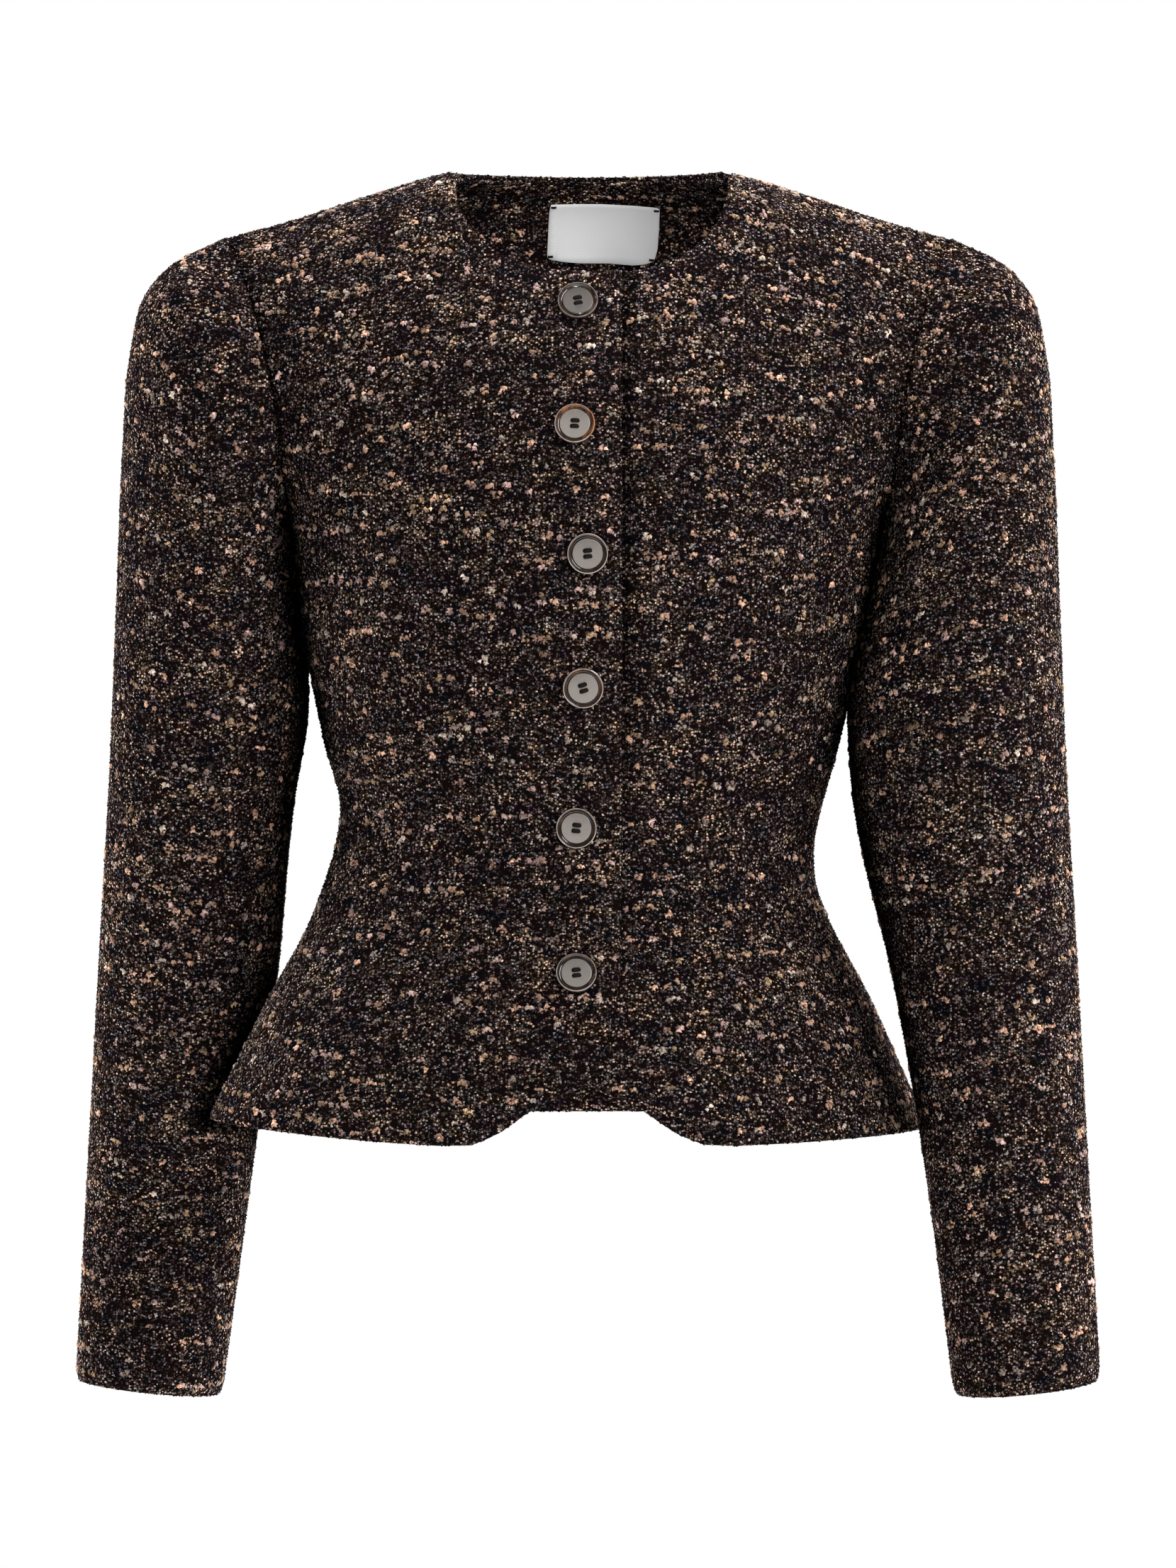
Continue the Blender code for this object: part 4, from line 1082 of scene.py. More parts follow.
def yarn_on(name, field, edge, keep, seed, settings, shade):
    """Fine loops and slubs on a piece of cloth and round its free edges, as two joined meshes."""
    cloth = settings.cloth
    yarn = settings.yarn
    rng = np.random.default_rng(seed)
    places = field.rows(cloth.row_pitch / MM, cloth.loop_pitch / MM, rng)
    loops = [(*field.at(places), loop_colours(*field.plan(places), seed, rng, yarn))]
    spacing = cloth.slub_spacing / MM
    curls = [slub_curls(field, slub_places(field, spacing, rng, seed), rng, yarn),
             single_curls(field, spacing * CURL_SHARE, rng, seed, yarn)]
    x, y, z = edge[0].T
    loops.append((*edge, loop_colours(x + y, z, seed, rng, yarn)))
    return (yarn_mesh(name + "_loops", (LOOP_POINTS, LOOP_FACES), loops, keep, LOOP_SIZE, rng, shade),
            yarn_mesh(name + "_slubs", (CURL_POINTS, CURL_FACES), curls, keep, CURL_SIZE, rng, shade))


def yarn_mesh(name, shape, parts, keep, size, rng, shade):
    """One mesh of loops or curls from lists of places, directions and colours."""
    spots, outward, along, colours = (np.concatenate(part) for part in zip(*parts))
    # painted shade darkens the loops' colours where they lie
    colours = colours * shade(spots)[:, None]
    kept = keep(spots)
    spots = spots[kept]
    outward = outward[kept]
    count = len(spots)
    along = turned(along[kept], outward, rng.normal(0, TURN_SWING, count))
    return yarn_object(name, shape, spots, outward, along, varied(size, count, rng), colours[kept])


def slub_curls(field, slubs, rng, yarn):
    """Places, directions and colours of the curls that make up the slubs."""
    spots, outward, weft = field.at(slubs)
    warp = np.cross(outward, weft)
    kinds = (yarn.slub_peach, yarn.slub_tan, yarn.slub_peach, yarn.slub_cream, yarn.slub_pink)
    colours = pick(kinds, len(slubs), rng)
    counts = rng.integers(*SLUB_CURLS, len(slubs))
    i = np.repeat(np.arange(len(slubs)), counts)
    shift = rng.normal(0, 1, (len(i), 2)) * SLUB_SPREAD
    rise = SLUB_RISE * rng.random(len(i))
    spots = spots[i] + shift[:, 0:1] * weft[i] + shift[:, 1:2] * warp[i] + rise[:, None] * outward[i]
    shades = colours[i] * np.exp(rng.normal(0, CURL_SWING, len(i)))[:, None]
    return spots, outward[i], weft[i], shades


def single_curls(field, spacing, rng, seed, yarn):
    """Single curls of brown-grey and pale yarn between the slubs."""
    places = field.rows(spacing, spacing, rng)
    spots, outward, weft = field.at(places)
    x, y = field.plan(places)
    pale = rng.random(len(places)) + patch_tone(x, y, seed) > CURL_TONE
    middle = pick((yarn.loop_brown, yarn.loop_grey), len(places), rng)
    colours = np.where(pale[:, None], pick((yarn.loop_cream, yarn.slub_tan), len(places), rng), middle)
    return spots, outward, weft, colours


def plain_shade(spots):
    """No change of shade."""
    return np.ones(len(spots))


def under_shade(spots):
    """The left front is dark where it comes out from under the right one."""
    past = np.clip((spots[:, 0] - CLOSURE_X - OVERLAP_HALF) / UNDER_DARK, 0, 1)
    depth = np.clip((spots[:, 2] - UNDER_END[0]) / (UNDER_END[1] - UNDER_END[0]), 0, 1)
    return 1 - UNDER_SHADE * depth * (1 - ease(past))


def near_arm(gap, z, top, bottom, wide):
    """Shade between an arm and the body, from the distance to the edge that faces the other."""
    depth = np.clip((top - z) / ARM_FADE, 0, 1) * np.clip((z - bottom) / ARM_FADE, 0, 1)
    lit = ease(np.clip(gap / wide, 0, 1))
    return 1 - depth * (1 - ARM_SHADE) * (1 - lit)


def seen_from_front(spots):
    """Widths and heights of points as seen from in front."""
    scale = VIEW_DISTANCE / (VIEW_DISTANCE + spots[:, 1])
    return spots[:, 0] * scale, VIEW_HEIGHT + (spots[:, 2] - VIEW_HEIGHT) * scale


def body_edge(z, hand):
    """How far out the body's side edge is seen at some heights."""
    rows = named(LEVEL_COLUMNS, LEVELS.values())
    return np.interp(z, [row["z_" + hand] for row in rows], [abs(row["x_" + hand]) for row in rows])


def body_shade(spots):
    """The body is dark along its sides, under the arms."""
    x, z = seen_from_front(spots)
    shade = np.ones(len(spots))
    for side, hand in HANDS.items():
        gap = body_edge(z, hand) - side * x
        shade *= np.where(side * x > 0, near_arm(gap, z, *ARM_REACH, ARM_DARK), 1.0)
    return shade


def sleeve_shade(spots):
    """A sleeve is dark along its inner side, and the right one beside the hem that hangs before it."""
    x, z = seen_from_front(spots)
    hand = HANDS[int(np.sign(x.mean()))]
    rows = named(RING_COLUMNS, reversed(RINGS.values()))
    levels = [row["z_inner"] for row in rows]
    edge = np.interp(z, levels, [row["x_inner_" + hand] for row in rows])
    middle = np.interp(z, levels, [row["y_" + hand] for row in rows])
    front = np.clip(SLEEVE_FRONT + (middle - spots[:, 1]) / ARM_DARK, 0, 1)
    if hand == "right":
        edge = np.maximum(edge, (body_edge(z, hand) + HEM_OUT) * (z > HEM_LOW))
    low = np.clip((ARM_REACH[1] - z) / ARM_FADE, 0, 1)
    shade = near_arm(np.abs(x) - edge, z, *SLEEVE_REACH, SLEEVE_DARK)
    return 1 - (1 - shade) * (1 - low * (1 - front))


def left_shade(spots):
    """Both shades of the left front."""
    return under_shade(spots) * body_shade(spots)


def everywhere(spots):
    """Keeps all yarn."""
    return np.ones(len(spots), bool)


def clear_of_buttons(spots):
    """Keeps yarn that isn't under a button."""
    kept = np.ones(len(spots), bool)
    for place in button_places():
        kept &= np.linalg.norm(spots - place["spot"], axis=1) > BUTTON_CLEAR
    return kept


def clear_of_label(spots):
    """Keeps yarn of the facing that isn't under the label."""
    x, z = seen_from_front(spots)
    clear, away = inside(np.column_stack([x, z]), np.array(LABEL_EDGE))
    return ~clear & (away > LABEL_CLEAR)


def beyond_overlap(spots):
    """Keeps yarn of the left front that the right one doesn't cover, and leaves a bare dark strip past its
    edge as a painted shadow.
    """
    past = spots[:, 0] - CLOSURE_X - OVERLAP_HALF
    return (past >= OVERLAP_CLEAR) | (spots[:, 2] <= OVERLAP_LOW)


def button_places():
    """Where each button stands on the right front, and the way it faces."""
    places = named(BUTTON_COLUMNS, BUTTONS)
    for row in places:
        aim = np.array((row["x"], row["z"]))
        for _ in range(SEARCH_STEPS):
            place = TORSO.find([aim], FRONT_XZ, TORSO.front["hem"], TORSO.front["yoke"])
            out = TORSO.normals(place[:, 0], place[:, 1])[0]
            row["spot"] = TORSO.points(place[:, 0], place[:, 1])[0] + out * row["stand"]
            face = row["spot"] + out * BUTTON_MIDDLE
            aim = aim + np.array(as_seen(row["x"], row["z"], face[1])) - face[FRONT_XZ]
        row["out"] = out
    return places


def cloth_area(points, faces):
    """Area of cloth in square metres, from its outer face."""
    first = points[faces[:, 0]]
    area = 0.0
    for k in range(1, faces.shape[1] - 1):
        across = np.cross(points[faces[:, k]] - first, points[faces[:, k + 1]] - first)
        area += 0.5 * np.linalg.norm(across, axis=1).sum()
    return area * MM * MM


def settle(piece, material):
    """Give a piece its material and the body it rides on."""
    piece.data.materials.clear()
    piece.data.materials.append(material)
    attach(piece, BODY)


def torso_piece(node, cloth, outline, spacing):
    """A closed cloth wall on the torso in place of a node.

    Gives the piece, its points and their shade, its rim, which rim points are free, and the cloth's area.
    """
    places, faces = cut_panel(outline, spacing)
    outer, inner = cloth.both_faces(places[:, 0], places[:, 1])
    free = is_free(places)
    bulge = np.where(free, RIM_BULGE * cloth.cloth, 0.0)
    points, walls, starts, rim = closed_wall(outer, inner, faces, bulge)
    piece = wall_object(node + "_cloth", points, walls)
    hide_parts(node)
    off_seam = np.minimum((1 - np.abs(places[:, 0])) * FLAT_WIDTH, np.abs(places[:, 1] - SHOULDER_W))
    shade = np.where(off_seam < 2 * SEAM, np.interp(outer[:, 2], *SEAM_SHADE), 1.0)
    shade = np.concatenate([shade, shade, shade[starts]])
    return piece, points, shade, rim, free[starts], cloth_area(outer, faces)


def dress(piece, yarns, shade, settings):
    """Finish a piece of boucle with its shade and yarn."""
    settle(piece, boucle_ground(settings))
    paint(piece, SHADE, shade[:, None])
    for yarn in yarns:
        settle(yarn, boucle_yarn(settings))


class Shader:
    """A node material, built a node at a time."""

    def __init__(self, name):
        self.material = bpy.data.materials.new(name)
        self.material.use_nodes = True
        self.tree = self.material.node_tree
        self.surface = self.tree.nodes["Principled BSDF"]

    def node(self, kind, inputs=None, **settings):
        """A new node with its settings, and with values or other nodes' outputs on its inputs."""
        made = self.tree.nodes.new("ShaderNode" + kind)
        for key, value in settings.items():
            setattr(made, key, value)
        for key, value in (inputs or {}).items():
            self.feed(made.inputs[key], value)
        return made

    def feed(self, socket, value):
        """Set an input, or link it to an output."""
        if isinstance(value, bpy.types.NodeSocket):
            self.tree.links.new(value, socket)
        else:
            socket.default_value = value

    def finish(self, **inputs):
        """Set the surface's inputs, named with underscores for blanks."""
        for key, value in inputs.items():
            self.feed(self.surface.inputs[key.replace("_", " ")], value)
        return self.material

    def places(self, scale=(1, 1, 1)):
        """Object coordinates, stretched by a scale."""
        coordinates = self.node("TexCoord").outputs["Object"]
        return self.node("Mapping", {"Vector": coordinates, "Scale": scale}).outputs["Vector"]

    def attribute(self, name, output="Color"):
        """A value that the mesh keeps for each point."""
        return self.node("Attribute", attribute_name=name).outputs[output]

    def noise(self, vector, scale, detail=2.0, roughness=0.5):
        """Soft noise from 0 to 1."""
        return self.node("TexNoise", {"Vector": vector, "Scale": scale, "Detail": detail,
                                      "Roughness": roughness}).outputs["Fac"]

    def ramp(self, value, stops):
        """Colours by value. A plain number stands for a grey."""
        made = self.node("ValToRGB", {"Fac": value})
        elements = made.color_ramp.elements
        while len(elements) < len(stops):
            elements.new(0.5)
        for element, (place, colour) in zip(elements, stops):
            element.position = place
            element.color = (*((colour,) * 3 if isinstance(colour, (int, float)) else colour), 1.0)
        return made.outputs["Color"]

    def maths(self, operation, *values):
        """Arithmetic on numbers or outputs."""
        return self.node("Math", dict(enumerate(values)), operation=operation).outputs["Value"]

    def mix(self, share, first, second, blend="MIX"):
        """Two colours mixed by a share."""
        made = self.node("Mix", {"Factor": share}, data_type="RGBA", blend_type=blend)
        for socket, value in zip([s for s in made.inputs if s.type == "RGBA"], (first, second)):
            self.feed(socket, value if isinstance(value, bpy.types.NodeSocket) else (*tuple(value)[:3], 1.0))
        return [s for s in made.outputs if s.type == "RGBA"][0]

    def multiply(self, first, second):
        """Two colours multiplied."""
        return self.mix(1.0, first, second, "MULTIPLY")

    def bump(self, height, strength, distance):
        """A bumped direction from heights."""
        inputs = {"Height": height, "Strength": strength, "Distance": distance}
        return self.node("Bump", inputs).outputs["Normal"]


def scaled(colour, share):
    """A colour made lighter or darker."""
    return [share * c for c in colour]


def once(make):
    """Keeps the first material that a function makes, for the pieces that share it."""
    made = {}

    def kept(settings):
        name = make.__name__
        if name not in made:
            made[name] = make(settings)
        return made[name]

    return kept


@once
def boucle_ground(settings):
    """Weave under the loops: small close curls of yarn, each with painted shade towards its rim, with dark
    gaps, in patches that follow the weft.
    """
    yarn = settings.yarn
    shader = Shader("boucle_ground")
    here = shader.places()
    at = shader.places(WEFT_STRETCH)
    patches = shader.noise(at, 60.0, 3.0, 0.6)
    dark = shader.ramp(shader.noise(at, 75.0, 2.0),
                       ((0.38, yarn.violet_black), (0.5, yarn.brown_black), (0.62, yarn.teal_black)))
    wander = shader.node("TexNoise", {"Vector": here, "Scale": 620.0, "Detail": 1.0}).outputs["Color"]
    strayed = shader.node("VectorMath", {0: wander, 1: SPECK_WANDER, 2: shader.places((1, 1, 1.15))},
                          operation="MULTIPLY_ADD").outputs["Vector"]
    curls = shader.node("TexVoronoi", {"Vector": strayed, "Scale": SPECK_SCALE, "Randomness": 1.0}).outputs
    own = shader.node("SeparateColor", {"Color": curls["Color"]}).outputs
    patch = shader.maths("MULTIPLY", shader.maths("SUBTRACT", patches, 0.5), 1.05)
    curl = shader.ramp(shader.maths("ADD", own["Red"], patch), (
        (0.40, 0),
        (0.58, scaled(yarn.loop_brown, 0.8)),
        (0.76, scaled(yarn.loop_grey, 1.5)),
        (0.91, scaled(yarn.loop_cream, 1.1)),
        (1.0, scaled(yarn.loop_cream, 2.1)),
    ))
    tint = shader.mix(own["Green"], COOL_CURL, WARM_CURL)
    tint = shader.mix(shader.ramp(own["Blue"], ((0.76, 0), (0.86, 1))), tint, PINK_CURL)
    # each curl is brightest at its middle and fades into the dark ground towards its rim: partly where the
    # curl ends, partly painted shade of its round form
    curl_shade = shader.ramp(curls["Distance"], ((0.0, 1.3), (0.25, 1.2), (0.62, 0.03)))
    strand = shader.ramp(shader.noise(here, 2100.0, 2.0), ((0.34, 0.25), (0.66, 1.7)))
    curl = shader.multiply(shader.multiply(shader.multiply(curl, tint), curl_shade), strand)
    hue = shader.ramp(patches, ((0.36, DARK_PATCH), (0.64, PALE_PATCH)))
    colour = shader.multiply(shader.mix(1.0, dark, curl, "ADD"), hue)
    height = shader.maths("ADD", shader.maths("MULTIPLY", curls["Distance"], -1.0),
                          shader.maths("MULTIPLY", shader.noise(here, 1900.0, 2.0), 0.45))
    return shader.finish(Base_Color=shader.multiply(colour, shader.attribute(SHADE)), Roughness=1.0,
                         Specular_IOR_Level=0.0, Normal=shader.bump(height, 0.8, 0.0009))


@once
def boucle_yarn(_settings):
    """Loops and slubs, each in its own colour with painted shade taken in where it lies, and a little change
    along the yarn.
    """
    shader = Shader("boucle_yarn")
    change = shader.ramp(shader.noise(shader.places(), 900.0, 2.0), ((0.3, 0.55), (0.7, 1.25)))
    return shader.finish(Base_Color=shader.multiply(shader.attribute(YARN), change), Roughness=0.9,
                         Specular_IOR_Level=0.03)


@once
def thread_material(settings):
    """Dark sewing thread with a fine twist."""
    thread = settings.trim.thread
    shader = Shader("sewing_thread")
    twist = shader.noise(shader.places(), 2600.0, 1.0)
    return shader.finish(Base_Color=shader.ramp(twist, ((0.3, thread), (0.75, scaled(thread, 2.2)))),
                         Roughness=0.8, Specular_IOR_Level=0.1, Normal=shader.bump(twist, 0.5, 0.0002))


@once
def label_material(settings):
    """Smooth pale grey woven label, with a fine rib."""
    pale = settings.trim.label
    shader = Shader("label_cloth")
    at = shader.places()
    rib = shader.node("TexWave", {"Vector": at, "Scale": 620.0, "Distortion": 0.6, "Detail": 1.0},
                      bands_direction="Z").outputs["Fac"]
    cloud = shader.maths("MULTIPLY", shader.noise(at, 70.0, 3.0), 0.3)
    height = shader.maths("ADD", shader.maths("MULTIPLY", rib, 0.5), shader.noise(at, 1800.0, 1.0))
    return shader.finish(Base_Color=shader.mix(cloud, pale, scaled(pale, 0.88)), Roughness=0.62,
                         Specular_IOR_Level=0.35, Sheen_Weight=0.1, Normal=shader.bump(height, 0.25, 0.0002))


def across_button(shader):
    """Places over a button's face from -1 to 1, and the distance from its middle."""
    turning = shader.node("UVMap", uv_map=TURNING_MAP).outputs["UV"]
    inputs = {"Vector": turning, "Location": (-1, -1, 0), "Scale": (2, 2, 0)}
    over = shader.node("Mapping", inputs).outputs["Vector"]
    return over, shader.node("VectorMath", {0: over}, operation="LENGTH").outputs["Value"]


@once
def horn_rim(settings):
    """Polished dark horn, streaked, with a pale painted highlight round its edge, and more amber on some
    buttons.
    """
    trim = settings.trim
    shader = Shader("horn_rim")
    over, out = across_button(shader)
    streaks = shader.noise(shader.places((1, 1, 0.35)), 210.0, 3.0, 0.6)
    corner = shader.node("VectorMath", {0: over, 1: AMBER_SIDE}, operation="DOT_PRODUCT").outputs["Value"]
    side = shader.ramp(shader.maths("ADD", corner, 0.5), ((0.1, 0.1), (0.7, 1)))
    amber = shader.maths("MULTIPLY", shader.attribute("amber", "Fac"), side)
    tint = shader.mix(amber, trim.horn_brown, trim.horn_amber)
    colour = shader.mix(shader.ramp(streaks, ((0.4, 0), (0.7, 1))), trim.horn_dark, tint)
    # a thin pale ring round the rim's edge is a painted highlight, more amber on the amber buttons
    painted_glint = shader.mix(amber, trim.horn_glint, scaled(trim.horn_amber, 1.4))
    edge = shader.ramp(out, ((0.945, 0), (0.965, 1), (0.985, 1), (1.0, 0.05)))
    share = shader.multiply(edge, shader.ramp(streaks, ((0.3, 0.45), (0.6, 1))))
    colour = shader.mix(share, colour, shader.multiply(painted_glint, shader.attribute("tone")))
    return shader.finish(Base_Color=colour, Roughness=0.2, Specular_IOR_Level=0.5, Coat_Weight=0.7,
                         Coat_Roughness=0.05, Normal=shader.bump(streaks, 0.08, 0.0004))


@once
def horn_disc(settings):
    """Satin grey-beige middle of a button, with painted shade that makes it a little darker above and lighter
    below, brushed lines and small stains.
    """
    trim = settings.trim
    shader = Shader("horn_disc")
    over = across_button(shader)[0]
    brushed = shader.node("Mapping", {"Vector": over, "Scale": (0.3, 7.0, 1.0)}).outputs["Vector"]
    lines = shader.noise(brushed, 9.0, 3.0)
    pale = shader.mix(shader.ramp(lines, ((0.35, 0), (0.7, 1))), trim.disc, scaled(trim.disc, 0.8))
    height = shader.node("SeparateXYZ", {"Vector": over}).outputs["Y"]
    height = shader.maths("ADD", shader.maths("MULTIPLY", height, 0.5), 0.5)
    # painted shade: the disc is darker towards its top and a little lighter towards its bottom
    top_shade = shader.ramp(height, ((0.15, 1.1), (0.55, 1.0), (0.9, (0.72, 0.7, 0.69))))
    pale = shader.multiply(shader.multiply(pale, top_shade), shader.attribute("tone"))
    stains = shader.ramp(shader.noise(shader.places(), 260.0, 4.0, 0.6), ((0.5, 0), (0.75, 0.55)))
    share = shader.maths("MULTIPLY", shader.attribute("amber", "Fac"), stains)
    return shader.finish(Base_Color=shader.mix(share, pale, trim.disc_stain), Roughness=0.42,
                         Coat_Weight=0.15, Coat_Roughness=0.25, Normal=shader.bump(lines, 0.1, 0.0002))


def model_button():
    """One turned four-hole button by hand: its back at z = 0 and its face towards +Z."""
    bpy.ops.object.select_all(action="DESELECT")
    radius, height = BUTTON_STEPS[0]
    bpy.ops.mesh.primitive_cone_add(vertices=BUTTON_SIDES, radius1=BUTTON_BACK * MM, radius2=radius * MM,
                                    depth=height * MM, location=(0, 0, 0.5 * height * MM))
    button = bpy.context.object
    bpy.ops.object.transform_apply(location=True)
    bpy.ops.object.mode_set(mode="EDIT")
    bpy.ops.mesh.select_mode(type="FACE")
    bpy.ops.mesh.select_all(action="DESELECT")
    bpy.ops.object.mode_set(mode="OBJECT")
    for face in button.data.polygons:
        face.select = face.normal.z > BUTTON_TOP
    bpy.ops.object.mode_set(mode="EDIT")
    for wider, higher in BUTTON_STEPS[1:]:
        rise = (0, 0, (higher - height) * MM)
        bpy.ops.mesh.extrude_region_move(TRANSFORM_OT_translate={"value": rise})
        bpy.ops.transform.resize(value=(wider / radius, wider / radius, 1),
                                 center_override=(0, 0, higher * MM))
        radius, height = wider, higher
    bpy.ops.mesh.select_all(action="SELECT")
    bpy.ops.mesh.normals_make_consistent(inside=False)
    bpy.ops.object.mode_set(mode="OBJECT")
    drills = []
    for x in (-HOLE_OFFSET, HOLE_OFFSET):
        for y in (-HOLE_OFFSET, HOLE_OFFSET):
            bpy.ops.mesh.primitive_cylinder_add(vertices=HOLE_SIDES, radius=HOLE_RADIUS * MM,
                                                depth=HOLE_DEPTH * MM, location=(x * MM, y * MM, 0))
            drills.append(bpy.context.object)
    for drill in drills:
        drill.select_set(True)
    bpy.ops.object.join()
    drill = bpy.context.object
    bpy.ops.object.select_all(action="DESELECT")
    bpy.context.view_layer.objects.active = button
    button.select_set(True)
    holes = button.modifiers.new("holes", "BOOLEAN")
    holes.operation = "DIFFERENCE"
    holes.object = drill
    bpy.ops.object.modifier_apply(modifier="holes")
    bpy.data.objects.remove(drill)
    cut = bmesh.new()
    cut.from_mesh(button.data)
    cut.verts.sort(key=lambda point: point.co.dot(SORT_WAY))
    cut.faces.sort(key=lambda face: face.calc_center_median().dot(SORT_WAY))
    cut.to_mesh(button.data)
    cut.free()
    bpy.ops.object.shade_smooth_by_angle(angle=math.radians(BUTTON_SMOOTH))
    uv = button.data.uv_layers.new(name=TURNING_MAP)
    points = np.array([button.data.vertices[loop.vertex_index].co[:2] for loop in button.data.loops])
    uv.uv.foreach_set("vector", (points / (2 * BUTTON_STEPS[0][0] * MM) + 0.5).astype(np.float32).ravel())
    return button


def tubes(name, runs, radius):
    """Strands of thread in one mesh: each a closed tube along a row of points."""
    points = []
    walls = []
    turn = np.linspace(0, 2 * math.pi, TUBE_SIDES, endpoint=False)
    for run in runs:
        start = len(points)
        along = unit(np.gradient(run, axis=0))
        side = unit(np.cross(along, np.roll(along, 1, axis=1) + TUBE_TURN))
        up = np.cross(side, along)
        for spot, s, u in zip(run, side, up):
            points.extend(spot + radius * (math.cos(t) * s + math.sin(t) * u) for t in turn)
        for j in range(len(run) - 1):
            for k in range(TUBE_SIDES):
                after = (k + 1) % TUBE_SIDES
                low = start + j * TUBE_SIDES
                walls.append((low + k, low + TUBE_SIDES + k, low + TUBE_SIDES + after, low + after))
        walls.append(tuple(start + k for k in range(TUBE_SIDES)))
        walls.append(tuple(start + (len(run) - 1) * TUBE_SIDES + k for k in reversed(range(TUBE_SIDES))))
    return wall_object(name, np.array(points), walls)


def arch(start, end, out, rise):
    """Points of a thread that comes up at start, lies over and goes down at end."""
    t = np.linspace(0, 1, ARCH_POINTS)[:, None]
    lift = rise * (1 - (2 * t - 1) ** 4) - ARCH_SINK * (np.abs(2 * t - 1) ** 8)
    return start + (end - start) * t + out * lift


def seen_places(edge, cloth):
    """Places on the back whose visible inner face is seen from in front at the given widths and heights."""
    targets = np.asarray(edge, float)
    aim = targets.copy()
    for _ in range(SEEN_STEPS):
        places = TORSO.find(aim, FRONT_XZ, TORSO.back["yoke"] - LABEL_HEIGHT, TORSO.back["armhole_mid"])
        shown = cloth.both_faces(places[:, 0], places[:, 1])[1]
        wanted = np.column_stack(as_seen(targets[:, 0], targets[:, 1], shown[:, 1]))
        aim = aim + wanted - shown[:, FRONT_XZ]
    return places


def label_outline(cloth):
    """Places round the label, with its uneven edges."""
    edge = []
    for a, b in zip(LABEL_EDGE, LABEL_EDGE[1:] + LABEL_EDGE[:1]):
        a = np.array(a)
        b = np.array(b)
        count = max(1, int(round(np.linalg.norm(b - a) / LABEL_MESH)))
        edge.extend(a + (b - a) * t for t in np.linspace(0, 1, count, endpoint=False))
    return seen_places(edge, cloth)


def label_lift(p, w):
    """How far the label stands off the facing: most at its lower edge, in two soft waves."""
    spots = TORSO.points(p, w)
    x, z = as_seen(*LABEL_CENTRE, LABEL_Y)
    low = np.clip(0.5 - (spots[:, 2] - z) / LABEL_HEIGHT, 0, 1)
    share = np.clip((spots[:, 0] - x) / LABEL_WIDTH + 0.5, 0, 1)
    wave = 1 - LABEL_WAVE + LABEL_WAVE * np.sin(2 * math.pi * LABEL_WAVES * share + LABEL_WAVE_START)
    return -LABEL_LIFT * low ** 2 * wave * np.clip(np.sin(math.pi * share), 0, 1) ** 0.5


def length_property(name, description, default, low, high):
    """A length that a user may change, given in millimetres."""
    return FloatProperty(name=name, description=description, default=default * MM, min=low * MM,
                         max=high * MM, unit="LENGTH", precision=4)


def power_property(name, description, default):
    """The power of some lights, which a user may change."""
    return FloatProperty(name=name, description=description, default=default, min=0.0, unit="POWER")


def colour_property(name, description, default):
    """A colour that a user may change."""
    return FloatVectorProperty(name=name, description=description, default=default, subtype="COLOR", size=3,
                               min=0.0, max=1.0)


class ClothSizes(bpy.types.PropertyGroup):
    """Sizes of the cloth and its yarn."""

    wall: length_property("Cloth", "Thickness of the boucle", 2.6, 1, 3)
    mesh: length_property("Mesh", "Spacing of the cloth's mesh points", 7.5, 4, 15)
    crease: FloatProperty(name="Creases", description="Strength of the creases", default=1.0, min=0.0,
                          max=2.0, subtype="FACTOR")
    row_pitch: length_property("Row pitch", "Spacing of the rows of loops", 2.35, 2, 8)
    loop_pitch: length_property("Loop pitch", "Spacing of the loops in a row", 2.8, 2, 8)
    slub_spacing: length_property("Slubs", "Spacing of the slubs", 13.4, 8, 40)
    seed: IntProperty(name="Seed", description="Changes where each loop and slub falls", default=11, min=0)


class YarnColours(bpy.types.PropertyGroup):
    """Colours of the yarns."""

    violet_black: colour_property("Violet black", "Dark ground yarn", (0.0062, 0.0033, 0.0040))
    brown_black: colour_property("Brown black", "Dark ground yarn", (0.0072, 0.0040, 0.0029))
    teal_black: colour_property("Teal black", "Dark ground yarn", (0.0034, 0.0036, 0.0044))
    loop_brown: colour_property("Brown", "Loops of middle tone", (0.056, 0.041, 0.032))
    loop_grey: colour_property("Grey", "Loops of middle tone", (0.068, 0.058, 0.053))
    loop_cream: colour_property("Cream", "Pale loops", (0.285, 0.245, 0.229))
    loop_grey_pale: colour_property("Pale grey", "Pale loops", (0.225, 0.205, 0.203))
    slub_peach: colour_property("Peach", "Slubs", (0.53, 0.32, 0.225))
    slub_tan: colour_property("Tan", "Slubs", (0.38, 0.25, 0.155))
    slub_cream: colour_property("Cream slub", "Slubs", (0.45, 0.36, 0.295))
    slub_pink: colour_property("Pink", "Slubs", (0.43, 0.285, 0.25))


class TrimColours(bpy.types.PropertyGroup):
    """Colours of the buttons, thread and label."""

    horn_dark: colour_property("Dark horn", "Dark streaks of the button rims", (0.010, 0.006, 0.0045))
    horn_brown: colour_property("Brown horn", "Pale streaks of the button rims", (0.055, 0.034, 0.025))
    horn_amber: colour_property("Amber horn", "Pale streaks of the amber rims", (0.36, 0.14, 0.045))
    # pale colour of the painted highlight, a thin ring round the edge of each rim
    horn_glint: colour_property("Horn edge", "Worn pale edge of the button rims", (0.60, 0.52, 0.46))
    disc: colour_property("Disc", "Satin middle of the buttons", (0.312, 0.279, 0.254))
    disc_stain: colour_property("Disc stain", "Amber stains on the discs", (0.45, 0.26, 0.15))
    thread: colour_property("Thread", "Sewing thread", (0.008, 0.006, 0.006))
    label: colour_property("Label", "Cloth of the label", (0.86, 0.86, 0.865))


